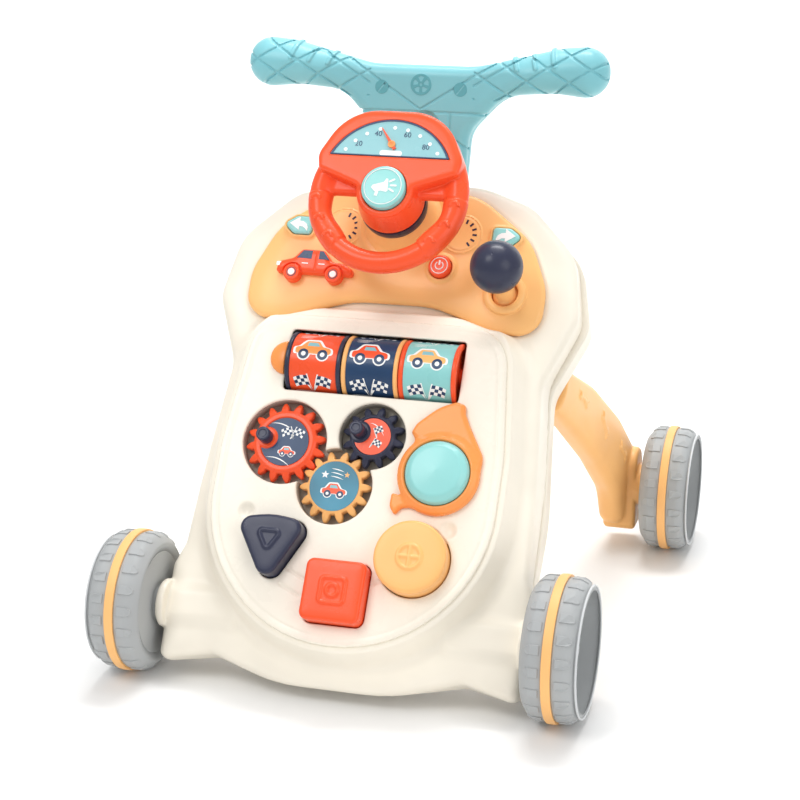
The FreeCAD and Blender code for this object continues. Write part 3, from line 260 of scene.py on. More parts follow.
BODY = outline(mirrored(BODY_HALF))
COVER = outline(mirrored([(COVER_FLARE.get(i, u), v, r)
                          for i, (u, v, r) in enumerate(BODY_HALF)]))
CONSOLE = outline(mirrored(CONSOLE_HALF))
BOARD = outline(mirrored(BOARD_HALF))
SQUARE_MID, CIRCLE_MID = middle("block_square"), middle("block_circle")
TRIANGLE = outline([(-85.5, 100.0, 9.0), (-56.0, 105.5, 60.0), (-26.5, 101.5, 9.0),
                    (-54.0, 49.0, 9.0)][::-1])
SQUARE = round_box(SQUARE_MID, (47.0, 47.0), 6.0)
DISC = circle(CIRCLE_MID, 28.0, 72)
DOME_MID = middle("dome_button")
STEER_MID = middle("horn_cap")
DRUM_V = middle("drum_middle")[1]
DRUM_N = 17.0
GEAR_TEETH = {"red": 16, "yellow": 14, "navy": 12}
GEAR_MODULE = 3.7
BITE_R = 9.0                 # the sticker stays this far from the crank
GEAR_MIDS = {name: middle("gear_" + name) for name in GEAR_TEETH}


# ---------------------------------------------------------------- distance fields
def within(points, x, y):
    """Signed distance from a closed outline, negative inside."""
    x, y = np.broadcast_arrays(x, y)
    best = np.full(x.shape, 1e9, np.float32)
    inside = np.zeros(x.shape, bool)
    for (ax, ay), (bx, by) in zip(points, np.roll(points, -1, axis=0)):
        dx, dy = bx - ax, by - ay
        if dx * dx + dy * dy < 1e-9:
            continue
        px, py = x - ax, y - ay
        t = np.clip((px * dx + py * dy) / (dx * dx + dy * dy), 0, 1)
        best = np.minimum(best, (px - t * dx) ** 2 + (py - t * dy) ** 2)
        if dy:
            inside ^= ((y < ay) != (y < by)) & (px < dx * py / dy)
    return np.where(inside, -1, 1) * np.sqrt(best)


def near(points, x, y):
    """Distance from an open line of points."""
    best = 1e9
    for (ax, ay), (bx, by) in zip(points[:-1], points[1:]):
        dx, dy = bx - ax, by - ay
        px, py = x - ax, y - ay
        t = np.clip((px * dx + py * dy) / (dx * dx + dy * dy), 0, 1)
        best = np.minimum(best, np.hypot(px - t * dx, py - t * dy))
    return best


def away(spot, u, v):
    """Distance from a spot."""
    return np.hypot(u - spot[0], v - spot[1])


def both(a, b, r=0.0):
    """What lies inside both, with the edge between them rounded."""
    a, b = a + r, b + r
    return np.minimum(np.maximum(a, b), 0) + np.hypot(np.maximum(a, 0), np.maximum(b, 0)) - r


def join(a, b, k=0.0):
    """Union, with a fillet about k wide in the corner."""
    if k == 0:
        return np.minimum(a, b)
    h = np.clip(0.5 + 0.5 * (b - a) / k, 0, 1)
    return b * (1 - h) + a * h - k * h * (1 - h)


def less(a, b, r=0.0):
    """The first without the second, with a round edge."""
    return both(a, -b, r)


def slab(flat, n, n0, n1, r=0.0):
    """A flat outline's distance, thickened between two heights with round edges."""
    return both(flat, np.abs(n - (n0 + n1) / 2) - (n1 - n0) / 2, r)


# ---------------------------------------------------------------- mesh makers
def to_mesh(points, faces):
    """Mesh data from points and faces, all smooth."""
    made = bpy.data.meshes.new("mesh")
    made.from_pydata([tuple(p) for p in points], [], [tuple(f) for f in faces])
    made.shade_smooth()
    return made


COARSE = 1.0


def sculpt(low, high, step, distance):
    """Mesh of a distance field's surface inside a box."""
    step = step * COARSE
    axes = [np.arange(a - 2 * step, b + 2 * step, step, dtype=np.float32)
            for a, b in zip(low, high)]
    x, y, z = np.meshgrid(*axes, indexing="ij", sparse=True)
    values = np.broadcast_to(distance(x, y, z), [len(a) for a in axes])
    grid = openvdb.FloatGrid(3 * step)
    grid.copyFromArray(np.array(values, dtype=np.float32, order="C"))
    points, quads = grid.convertToQuads(0.0)
    points = points * step + np.array([a[0] for a in axes])
    corners = points[quads]
    volume = np.einsum("ij,ij->i", corners[:, 0], np.cross(corners[:, 1], corners[:, 2])).sum()
    if volume < 0:
        quads = quads[:, ::-1]
    made = bpy.data.meshes.new("mesh")
    made.vertices.add(len(points))
    made.vertices.foreach_set("co", points.astype(np.float32).ravel())
    made.loops.add(quads.size)
    made.loops.foreach_set("vertex_index", quads.astype(np.int32).ravel())
    made.polygons.add(len(quads))
    made.polygons.foreach_set("loop_start", np.arange(0, quads.size, 4, dtype=np.int32))
    made.update(calc_edges=True)
    made.shade_smooth()
    return made


def turned(profile, count=96):
    """Mesh of a closed outline (x, z) turned about the z axis."""
    rings = [(x * math.cos(a), x * math.sin(a), z)
             for a in np.arange(count) * 2 * math.pi / count for x, z in profile]
    size = len(profile)
    faces = []
    for i in range(count):
        for j in range(size):
            k = (j + 1) % size
            following = (i + 1) % count
            faces.append((i * size + j, following * size + j, following * size + k,
                          i * size + k))
    made = to_mesh(rings, faces)
    tidy = bmesh.new()
    tidy.from_mesh(made)
    bmesh.ops.remove_doubles(tidy, verts=tidy.verts, dist=1e-4)
    bmesh.ops.recalc_face_normals(tidy, faces=tidy.faces)
    tidy.to_mesh(made)
    tidy.free()
    return made


def shifted(mesh, offset, turn=None):
    """The mesh moved by an offset, after an optional turn."""
    if turn is not None:
        mesh.transform(turn)
    mesh.transform(Matrix.Translation(Vector(offset)))
    return mesh


def from_curve(curve):
    """Mesh of a curve object, which is then removed."""
    holder = bpy.data.objects.new("holder", curve)
    bpy.context.scene.collection.objects.link(holder)
    graph = bpy.context.evaluated_depsgraph_get()
    made = bpy.data.meshes.new_from_object(holder.evaluated_get(graph))
    bpy.data.objects.remove(holder)
    bpy.data.curves.remove(curve)
    return made


def tubes(lines, radius, closed=False):
    """Round tubes along lines of (x, y, z) points."""
    curve = bpy.data.curves.new("tubes", "CURVE")
    curve.dimensions = "3D"
    curve.bevel_depth = radius
    curve.bevel_resolution = 2
    curve.use_fill_caps = not closed
    for line in lines:
        spline = curve.splines.new("POLY")
        spline.points.add(len(line) - 1)
        spline.points.foreach_set("co", [c for p in line for c in (*p, 1.0)])
        spline.use_cyclic_u = closed
    return from_curve(curve)


def hoop(radius, height, thick, count):
    """Round ring of tube about the z axis."""
    return tubes([[(radius * math.cos(a), radius * math.sin(a), height)
                   for a in np.arange(count) * 2 * math.pi / count]], thick, True)


def plate(outlines, n0, n1, edge=0.0):
    """Flat relief between two heights over closed outlines; inner ones are holes."""
    curve = bpy.data.curves.new("plate", "CURVE")
    curve.dimensions = "2D"
    curve.fill_mode = "BOTH"
    curve.extrude = (n1 - n0) / 2 - edge
    curve.bevel_depth = edge
    curve.bevel_resolution = 1
    curve.offset = -edge
    for line in outlines:
        spline = curve.splines.new("POLY")
        spline.points.add(len(line) - 1)
        spline.points.foreach_set("co", [c for p in line for c in (p[0], p[1], 0.0, 1.0)])
        spline.use_cyclic_u = True
    return shifted(from_curve(curve), (0, 0, (n0 + n1) / 2))


def number(text, centre, size, n0, n1):
    """A number in plain strokes, centred."""
    curve = bpy.data.curves.new("number", "FONT")
    curve.body = text
    curve.size = size
    curve.align_x = "CENTER"
    curve.align_y = "CENTER"
    curve.extrude = (n1 - n0) / 2
    return shifted(from_curve(curve), (*centre, (n0 + n1) / 2))


def onto_drum(mesh, radius):
    """Bend a flat relief (x along the drum, y round it) onto a drum's surface."""
    bend = bmesh.new()
    bend.from_mesh(mesh)
    for _ in range(6):
        long_edges = [e for e in bend.edges
                      if abs(e.verts[0].co.y - e.verts[1].co.y) > 1.5]
        if not long_edges:
            break
        bmesh.ops.subdivide_edges(bend, edges=long_edges, cuts=1, use_grid_fill=False)
        bmesh.ops.triangulate(bend, faces=[f for f in bend.faces if len(f.verts) > 4])
    for vert in bend.verts:
        angle = vert.co.y / radius
        reach = radius + vert.co.z
        vert.co.y = DRUM_V + reach * math.sin(angle)
        vert.co.z = DRUM_N + reach * math.cos(angle)
    bend.to_mesh(mesh)
    bend.free()
    return mesh


def merged(parts):
    """One mesh from (mesh, look) pairs, with one material slot per look."""
    looks = list(dict.fromkeys(look for _, look in parts))
    whole = bmesh.new()
    for mesh, look in parts:
        mesh.materials.clear()
        before = len(whole.faces)
        whole.from_mesh(mesh)
        whole.faces.ensure_lookup_table()
        for index in range(before, len(whole.faces)):
            whole.faces[index].material_index = looks.index(look)
        bpy.data.meshes.remove(mesh)
    made = bpy.data.meshes.new("mesh")
    whole.to_mesh(made)
    whole.free()
    for look in looks:
        made.materials.append(LOOKS[look])
    return made


def add(node, parts, body="body", where=PANEL, also=()):
    """A visible piece from (mesh, look) pairs, riding on a body, standing for its CAD nodes."""
    name = node + ".visual"
    mesh = merged(parts)
    mesh.transform(where)
    mesh.name = name
    piece = bpy.data.objects.new(name, mesh)
    bpy.context.scene.collection.objects.link(piece)
    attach(piece, body)
    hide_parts(node, *also)


# ---------------------------------------------------------------- shells
def height(v, n):
    """Height above the floor of a point in the panel's space."""
    return (PANEL[2][1] * v + PANEL[2][2] * n + PANEL[2][3]) / MM


def stem_room(u, v, n, play):
    """Room of the handle's stem, grown by a clearance."""
    across = HANDLE.inverted() @ PANEL
    y = across[1][1] * v + across[1][2] * n + across[1][3]
    z = across[2][1] * v + across[2][2] * n + across[2][3]
    half = 36.0 + 4.0 * np.clip((y + 126.0) / 76.0, 0, 1)
    section = both(np.abs(u) - half - play, np.abs(z) - 15.0 - play, 8.0)
    return both(section, -126.0 - play - y)


def shoulder(v):
    """How far the board's top falls away towards the console."""
    return 11.0 * np.clip((v - 250.0) / 30.0, 0, 1) ** 2


def front_shell():
    """Front moulding: crowned body, blended plateau, arms with bearing bosses."""
    axle_low, axle_high = extent("front_axle")
    axle_v, axle_n = (axle_low + axle_high)[1:] / 2
    top_wider, slope = 4.0, 9.0

    def distance(u, v, n):
        body = within(BODY, u, v)
        round_board = within(BOARD, u, v)
        crown = FACE_N - 3.0 * np.clip((body + 16.0) / 16.0, 0, 1) ** 2
        outer = both(body, n - crown, 6.0)
        lean = slope / (PLATEAU_N - FACE_N)
        rise = (round_board - top_wider - lean * (PLATEAU_N - n)) / math.hypot(1, lean)
        top = n - PLATEAU_N + shoulder(v)
        plateau = both(rise, top, 1.6)
        outer = join(outer, plateau, 7.0)
        outer = less(outer, both(within(CONSOLE, u, v) - GAP, FACE_N - n), 2.5)
        axle = np.hypot(v - axle_v, n - axle_n)
        arm = both(axle - 13.0, np.abs(np.abs(u) - 115.0) - 30.0, 2.0)
        arm = both(arm, n - FACE_N - 2.0, 2.0)
        collar = both(axle - 19.0, np.abs(np.abs(u) - 144.0) - 3.0, 1.2)
        outer = join(join(outer, arm, 8.0), collar, 0.6)
        outer = both(outer, FLOOR_GAP - height(v, n), 4.0)
        shell = np.maximum(outer, -(outer + WALL))
        boss = np.maximum(both(axle - 13.0, np.abs(np.abs(u) - 120.0) - 25.0), outer)
        shell = join(shell, boss)
        shell = both(shell, PART_N - n, 0.8)
        shell = less(shell, both(round_board + 9.0, -n), 0.5)
        shell = less(shell, stem_room(u, v, n, GAP), 0.8)
        return less(shell, axle - AXLE_BORE_R)

    low, high = extent("front_shell")
    mesh = sculpt(low, high, 1.45, distance)
    add("front_shell", [(mesh, "cream")])


def rear_cover():
    """Back moulding with the grille, the battery opening and sunk screw holes."""
    grille = middle("speaker")
    hatch = middle("battery_door")
    screws_uv = [(s * u, v) for s in (-1, 1) for u, v in ((118.0, 60.0), (112.0, 180.0),
                                                         (110.0, 330.0))]

    def distance(u, v, n):
        cover = within(COVER, u, v)
        outer = both(both(cover, BACK_N - n, 7.0), n - 60.0)
        outer = both(outer, FLOOR_GAP - height(v, n), 4.0)
        shell = np.maximum(outer, -(outer + WALL))
        for spot in screws_uv:
            post = away(spot, u, v)
            shell = join(shell, np.maximum(post - 5.0, outer), 1.5)
            shell = less(shell, both(post - 3.4, n - PART_N + 10.0), 0.6)
        lip = np.maximum(-(within(BODY, u, v) + 4.0), PART_N - 2.5 - n)
        shell = join(shell, np.maximum(outer, lip), 0.5)
        shell = both(shell, n - PART_N, 0.8)
        shell = less(shell, both(away(grille, u, v) - 20.5,
                                 n - BACK_N - WALL - 1), 0.6)
        opening = within(round_box(hatch, (58.2, 44.2), 3.2), u, v)
        shell = less(shell, both(opening, n - BACK_N - WALL - 1), 0.6)
        return less(shell, stem_room(u, v, n, GAP), 0.8)

    low, high = extent("rear_cover")
    cover = sculpt(low, high, 1.45, distance)

    def sieve(u, v, n):
        reach = away(grille, u, v)
        disc = both(reach - 20.9, np.abs(n - BACK_N - 1.0) - 1.0, 0.4)
        for ring in range(4):
            count = max(1, 6 * ring)
            for k in range(count):
                turn = 2 * math.pi * k / count
                hole = np.hypot(u - grille[0] - 5 * ring * math.cos(turn),
                                v - grille[1] - 5 * ring * math.sin(turn))
                disc = less(disc, hole - 1.3, 0.3)
        return disc

    low = np.array([grille[0] - 21.0, grille[1] - 21.0, BACK_N])
    disc = sculpt(low, low + np.array([42.0, 42.0, 2.0]), 0.6, sieve)
    add("rear_cover", [(cover, "cream"), (disc, "cream")])

    def door(u, v, n):
        lid = slab(within(round_box(hatch, (57.4, 43.4), 3.0), u, v), n, BACK_N, BACK_N + 2.0,
                   0.6)
        for k in range(5):
            rib = np.hypot(np.maximum(np.abs(u - hatch[0]) - 14.0, 0),
                           v - hatch[1] - 4 + 3.4 * k)
            lid = less(lid, np.hypot(rib, n - BACK_N) - 0.9, 0.3)
        screw = np.hypot(u - hatch[0], v - hatch[1] + 17.0)
        return less(lid, both(screw - 2.6, n - BACK_N - 1.2), 0.3)

    low, high = extent("battery_door")
    add("battery_door", [(sculpt(low, high, 0.6, door), "cream")])


# ---------------------------------------------------------------- activity board
def gear_tip(name):
    """Tip radius of a gear."""
    return GEAR_MODULE * (GEAR_TEETH[name] / 2 + 0.8)


def gear_root(name):
    """Root radius of a gear."""
    return GEAR_MODULE * (GEAR_TEETH[name] / 2 - 1.05)


def activity_board():
    """Oval board: wells, gear pockets, drum window, thumb notches and faint guide grooves."""
    wells = {"triangle": TRIANGLE, "square": SQUARE, "circle": DISC}
    notches = [(-82.0, 108.0), (79.0, 108.5)]
    guides = [[(-42.0, 67.0), (-27.0, 60.0)], [(-45.0, 54.0), (-29.0, 47.0)],
              [(27.0, 61.0), (42.0, 70.0)]]
    window = round_box((0.0, DRUM_V), (141.8, 50.0), 3.0)

    def distance(u, v, n):
        edge = within(BOARD, u, v)
        top = BOARD_N - shoulder(v)
        board = both(both(edge, n - top, 1.6), PLATEAU_N - shoulder(v) - n)
        rim = np.hypot(edge + 6.0, (n - top) * 2) - 0.5
        board = less(board, rim, 0.8)
        cups = [within(w, u, v) - 0.7 for w in wells.values()]
        cups.append(away(DOME_MID, u, v) - CUP_R)
        for cup in cups:
            board = join(board, slab(cup - 1.6, n, 18.0, PLATEAU_N + 1))
        for side in (-1, 1):
            wing = np.maximum(np.abs(u - side * 72.4) - 1.5, np.abs(v - DRUM_V) - 8.0)
            board = join(board, slab(wing, n, 9.0, PLATEAU_N + 1))
        for cup in cups:
            board = less(board, np.maximum(cup, 20.0 - n), 0.9)
        for name, spot in GEAR_MIDS.items():
            board = less(board, away(spot, u, v) - gear_tip(name) - 1.3, 1.2)
        board = less(board, within(window, u, v), 1.0)
        for spot in notches:
            reach = away(spot, u, v)
            board = join(board, slab(reach - 10.0, n, 24.0, PLATEAU_N + 1))
            board = less(board, np.hypot(reach, n - BOARD_N - 6.0) - 8.6, 1.0)
        for line in guides:
            board = less(board, np.hypot(near(line, u, v), n - BOARD_N - 0.5) - 1.3, 0.6)
        return board

    low, high = extent("activity_board")
    low[2] = 8.0
    mesh = sculpt(low, high, 0.95, distance)
    add("activity_board", [(mesh, "board")])


# ---------------------------------------------------------------- stickers
def chequered_flag(centre, size, turn, n0, n1, flip=1):
    """A small waving chequered flag on its pole, as flat reliefs."""
    cells = 4
    cosine, sine = math.cos(turn), math.sin(turn)

    def at(x, y):
        wave = 0.08 * math.sin(3.0 * x)
        x, y = flip * (x - 0.5) * size, (y + wave - 0.35) * size
        return (centre[0] + cosine * x - sine * y, centre[1] + sine * x + cosine * y)

    step = 1 / cells
    cloth = [at(x, 0) for x in np.linspace(0, 1, 7)]
    cloth += [at(x, 0.75) for x in np.linspace(1, 0, 7)]
    dark = []
    for i in range(cells):
        for j in range(3):
            if (i + j) % 2 == 0:
                dark.append([at(i * step, j * 0.25), at((i + 1) * step, j * 0.25),
                             at((i + 1) * step, (j + 1) * 0.25), at(i * step, (j + 1) * 0.25)])
    pole = [at(-0.08, -0.5), at(0.02, -0.5), at(0.02, 0.85), at(-0.08, 0.85)]
    return [(plate([cloth, pole], n0, n1), "white"),
            (plate(dark, n0, n1 + 0.06), "sticker_navy")]


def little_car(centre, size, body_look, n0, n1):
    """A plain toy car: white border, coloured body, window and wheels."""
    shape = [(-1.0, -0.32, 0.12), (1.0, -0.32, 0.12), (0.98, 0.02, 0.2), (0.5, 0.12, 0.2),
             (0.22, 0.5, 0.18), (-0.42, 0.5, 0.18), (-0.7, 0.1, 0.2), (-1.0, 0.05, 0.15)]

    def body(grow):
        points = outline(shape)
        reach = np.hypot(points[:, 0], points[:, 1])[:, None]
        return [tuple(p) for p in np.array(centre) + size * (points + grow * points / reach)]

    window = [(centre[0] + size * x, centre[1] + size * y)
              for x, y in ((-0.38, 0.14), (0.32, 0.14), (0.16, 0.38), (-0.34, 0.38))]
    wheels = [(centre[0] + size * x, centre[1] - 0.34 * size) for x in (-0.52, 0.55)]
    border = [(plate([body(0.13)], n0, n1), "white")]
    border += [(plate([circle(w, 0.37 * size, 24)], n0, n1), "white") for w in wheels]
    paint = [(plate([body(0.0)], n0, n1 + 0.06), body_look),
             (plate([window], n0, n1 + 0.12), "dial")]
    for wheel_mid in wheels:
        paint.append((plate([circle(wheel_mid, 0.29 * size, 24)], n0, n1 + 0.12),
                      "sticker_navy"))
        paint.append((plate([circle(wheel_mid, 0.13 * size, 16)], n0, n1 + 0.18), "white"))
    return border + paint


def star(centre, size, n0, n1, look="white"):
    """Five-pointed star."""
    points = [(centre[0] + r * size * math.sin(k * math.pi / 5),
               centre[1] + r * size * math.cos(k * math.pi / 5))
              for k in range(10) for r in [1.0 if k % 2 == 0 else 0.45]]
    return [(plate([points], n0, n1), look)]


def swoosh(points, width, n0, n1, look="white"):
    """Flat line that tapers to its ends."""
    points = np.array(points, float)
    along = np.gradient(points, axis=0)
    along /= np.hypot(along[:, 0], along[:, 1])[:, None]
    side = np.stack([-along[:, 1], along[:, 0]], 1)
    share = np.sin(np.linspace(0.12, math.pi - 0.12, len(points)))[:, None] * width / 2
    ring = np.concatenate([points + side * share, (points - side * share)[::-1]])
    return [(plate([ring], n0, n1), look)]


# ---------------------------------------------------------------- gears
def gear_shape(name):
    """The tooth outline of a gear, turned to match its node's own teeth."""
    teeth = GEAR_TEETH[name]
    pitch_r, tip_r = GEAR_MODULE * teeth / 2, gear_tip(name)
    root_r = gear_root(name)
    pressure = math.radians(25.0)
    base_r = pitch_r * math.cos(pressure)
    half_pitch = math.pi / (2 * teeth) - 0.35 / pitch_r
    points = vertices("gear_" + name)[:, :2] - GEAR_MIDS[name]
    tips = points[np.hypot(points[:, 0], points[:, 1]) > tip_r - 0.1]
    turns = np.exp(1j * teeth * np.arctan2(tips[:, 1], tips[:, 0]))
    phase = np.angle(turns.sum()) / teeth

    def half_angle(radius):
        turn = math.acos(min(1.0, base_r / radius))
        return (half_pitch + math.tan(pressure) - pressure) - (math.tan(turn) - turn)

    radii = np.linspace(root_r, tip_r, 6)
    flank = [(r, half_angle(max(r, base_r))) for r in radii]
    outline_points = []
    for k in range(teeth):
        mid = phase + 2 * math.pi * k / teeth
        outline_points += [(r * math.cos(mid - h), r * math.sin(mid - h)) for r, h in flank]
        outline_points += [(r * math.cos(mid + h), r * math.sin(mid + h)) for r, h in flank[::-1]]
    return np.array(outline_points)


def gear(name, body, sticker_r, sticker_look, crank):
    """A gear with sloping rounded teeth, a raised ring and its printed disc."""
    spot = np.array(GEAR_MIDS[name])
    teeth = gear_shape(name)
    tip = gear_tip(name)
    root = gear_root(name)
    low, high = extent("gear_" + name)
    floor, top = low[2], high[2]

    def distance(u, v, n):
        x, y = u - spot[0], v - spot[1]
        reach = np.hypot(x, y)
        slope = 3.2 * np.clip((reach - root) / (tip - root), 0, 1)
        wheel = both(within(teeth, x, y) + 0.1, np.maximum(n - top + 1.2 + slope, floor - n), 1.1)
        disc = slab(reach - root + 1.5, n, floor, top, 1.4)
        wheel = join(wheel, disc, 1.2)
        wheel = less(wheel, both(reach - sticker_r - 0.4, top - 1.0 - n), 0.5)
        if crank is not None:
            pad = away(crank, u, v)
            wheel = join(wheel, slab(pad - 8.0, n, floor, top, 0.7), 0.3)
        return less(wheel, np.maximum(reach - 4.1, n - 27.4))

    low = np.array([spot[0] - tip, spot[1] - tip, floor])
    high = np.array([spot[0] + tip, spot[1] + tip, top])
    parts = [(sculpt(low, high, 0.55, distance), name)]
    under, over = top - 1.1, top - 0.55
    disc_line = circle(spot, sticker_r, 72)
    if crank is None:
        parts.append((plate([disc_line], under, over), sticker_look))
    else:
        clear = away(crank, disc_line[:, 0], disc_line[:, 1]) > BITE_R
        first = int(np.argmax(np.diff(np.append(clear, clear[0]).astype(int)) == 1)) + 1
        ring = np.roll(disc_line, -first, axis=0)[:clear.sum()]
        centre_turn = math.atan2(spot[1] - crank[1], spot[0] - crank[0])
        ends = [math.atan2(p[1] - crank[1], p[0] - crank[0]) for p in (ring[-1], ring[0])]
        start, stop = (centre_turn + (e - centre_turn + math.pi) % (2 * math.pi) - math.pi
                       for e in ends)
        bite = circle(crank, BITE_R, 14, start, stop - start)
        parts.append((plate([np.concatenate([ring, bite])], under, over), sticker_look))
    mark = over + 0.1
    if name == "red":
        for side in (-1, 1):
            parts += chequered_flag(spot + (5.5 + 5.0 * side, 7.5), 8.0, -0.35 * side, over, mark,
                                    side)
        parts += little_car(spot + (3.0, -7.5), 6.5, "red", over, mark)
        for shift in (0.0, 1.0):
            parts += swoosh([spot + (-13.0 + k * 3.0, 14.0 - k * k * 0.22 - 27.5 * shift + 0.6 * k)
                             for k in range(8)], 0.9, over, mark)
    elif name == "navy":
        for side in (-1, 1):
            parts += chequered_flag(spot + (4.5, 5.4 * side), 6.5, 0.45 * side, over, mark)
        parts += swoosh([spot + (-3.0 + k * 2.0, 10.5 - 0.25 * k * k) for k in range(7)], 0.8,
                        over, mark)
    else:
        parts += little_car(spot + (0.5, -3.0), 9.5, "red", over, mark)
        parts += star(spot + (-8.5, 8.5), 3.2, over, mark)
        parts += star(spot + (9.0, 9.5), 2.4, over, mark, "yellow")
        for k in range(3):
            parts += swoosh([spot + (-4.0 + 2.6 * j, 13.6 - 3.0 * k - 0.12 * j * j)
                             for j in range(5)], 0.9, over, mark)
    add("gear_" + name, parts, body)


def crank_knob(name, body):
    """Peg with a dished top."""
    low, high = extent("crank_knob_" + name)
    radius = (high[0] - low[0]) / 2
    foot, top = low[2], high[2]
    line = outline([(0.01, foot, 0.005), (radius - 0.4, foot, 0.3), (radius, foot + 1.2, 0.5),
                    (radius, top, 1.4), (0.62 * radius, top, 0.4),
                    (0.5 * radius, top - 0.6, 0.5), (0.01, top - 0.6, 0.005)])
    mesh = shifted(turned(line, 64), (*middle("crank_knob_" + name), 0))
    add("crank_knob_" + name, [(mesh, "navy")], body)


def gears():
    """The three gears and their pegs."""
    stickers = {"red": ("gear_1", 19.3, "sticker_navy"), "yellow": ("gear_2", 19.6, "sticker_blue"),
                "navy": ("gear_3", 14.6, "red")}
    for name, (body, radius, look) in stickers.items():
        crank = None
        if name != "yellow":
            crank = np.array(middle("crank_knob_" + name))
            crank_knob(name, body)
        gear(name, body, radius, look, crank)


# ---------------------------------------------------------------- drums
def drums():
    """Picture drums with rounded rims and printed wraps."""
    looks = {"left": ("drum_1", "red", "navy", "horn"),
             "middle": ("drum_2", "sticker_navy", "yellow", "red"),
             "right": ("drum_3", "drum", "red", "yellow")}
    for place, (body, skin, rim_look, car_look) in looks.items():
        low, high = extent("drum_" + place)
        rim_low, rim_high = extent("drum_rims_" + place)
        mid = (low[0] + high[0]) / 2
        half = (high[0] - low[0]) / 2
        radius = (high[2] - low[2]) / 2
        along = Matrix.Rotation(math.pi / 2, 4, "Y")
        tube = outline([(radius - 2.0, -half, 0.4), (radius, -half, 0.4), (radius, half, 0.4),
                        (radius - 2.0, half, 0.4)])
        parts = [(shifted(turned(tube, 128), (mid, DRUM_V, DRUM_N), along), skin)]
        rim_r = (rim_high[2] - rim_low[2]) / 2
        rim_half = (rim_high[0] - rim_low[0]) / 2
        for side in (-1, 1):
            inner, outer = sorted((side * half, side * rim_half))
            ring = outline([(3.2, inner, 0.3), (rim_r, inner, 1.2), (rim_r, outer, 1.4),
                            (rim_r - 4.0, outer, 1.0), (rim_r - 5.0, (inner + outer) / 2, 0.8),
                            (7.0, (inner + outer) / 2, 0.8), (6.0, outer, 0.8),
                            (3.2, outer, 0.3)][::side])
            parts.append((shifted(turned(ring, 128), (mid, DRUM_V, DRUM_N), along), rim_look))
        for k in range(3):
            arc = k * 2 * math.pi / 3 * radius
            prints = little_car((mid - 1.0, arc + 0.26 * radius), 14.5, car_look, 0.0, 0.12)
            for side in (-1, 1):
                prints += chequered_flag((mid + 9.0 * side, arc - 0.86 * radius), 11.5,
                                         -0.25 * side, 0.0, 0.12, side)
            for row in range(3):
                prints += swoosh([(mid - 15.0 + 2.6 * j, arc + 0.72 * radius + 1.7 * row)
                                  for j in range(5 + row)], 0.5, 0.0, 0.08)
            parts += [(onto_drum(mesh, radius), look) for mesh, look in prints]
        add("drum_" + place, parts, body, also=["drum_rims_" + place])
    low, high = extent("roller_ear")

    def distance(u, v, n):
        reach = np.hypot(u - high[0], v - DRUM_V)
        bulge = both(reach - 13.5, n - high[2] + 2.6 * (reach / 13.5) ** 2, 3.0)
        return both(np.maximum(bulge, low[2] - n), u - high[0], 0.6)

    add("roller_ear", [(sculpt(low, high, 0.6, distance), "horn")])


# ---------------------------------------------------------------- horn and dome
HORN_BELL = [(98.5, 152.0, 24.0), (97.0, 168.0, 20.0), (84.0, 190.0, 30.0), (79.5, 199.0, 4.0),
             (78.5, 206.0, 3.0), (71.5, 208.0, 4.0), (58.0, 202.5, 40.0), (42.5, 188.0, 12.0),
             (39.5, 181.0, 2.5), (45.0, 174.0, 3.0), (65.0, 152.0, 6.0)]
HORN_TAIL = [(50.0, 135.0, 2.0), (40.0, 131.0, 3.5), (31.5, 132.5, 1.6), (31.2, 122.0, 7.0),
             (36.0, 115.5, 1.6), (40.5, 121.5, 4.0), (54.0, 124.0, 2.0)]


def horn():
    """Horn-shaped trim with a bell mouth and a tail, round the dome button."""
    low, high = extent("horn_trim")
    bell = outline(HORN_BELL)
    tail = outline(HORN_TAIL)
    mouth = [(42.0, 178.0), (50.0, 175.5), (58.0, 175.0), (66.0, 177.5), (72.0, 182.0)]

    def distance(u, v, n):
        reach = away(DOME_MID, u, v)
        flat = join(reach - 32.0, within(bell, u, v), 5.0)
        top = high[2] - 1.6 * np.clip((reach - 27.0) / 6.0, 0, 1)
        trim = both(flat, n - top, 3.4)
        stub = both(within(tail, u, v), n - high[2] + 3.0, 2.6)
        trim = join(trim, stub, 3.0)
        crease = np.hypot(near(mouth, u, v), (n - high[2]) * 1.3) - 1.5
        trim = less(trim, crease, 1.5)
        rim = np.hypot(reach - 27.2, n - high[2] + 1.0) - 1.6
        trim = join(trim, rim, 0.8)
        trim = np.maximum(trim, low[2] - n)
        return less(trim, reach - CUP_R, 0.8)

    add("horn_trim", [(sculpt(low, high, 0.7, distance), "horn")])
    low, high = extent("dome_button")
    radius = (high[0] - low[0]) / 2
    top = high[2]
    line = outline([(0.01, low[2], 0.005), (radius - 2.5, low[2], 0.3), (radius, low[2], 0.5),
                    (radius, top - 8.0, 2.0), (radius - 1.4, top - 4.4, 3.0),
                    (radius - 5.5, top - 1.4, 5.0), (0.01, top, 0.005)])
    mesh = shifted(turned(line, 128), (*DOME_MID, 0))
    add("dome_button", [(mesh, "teal")], "dome")


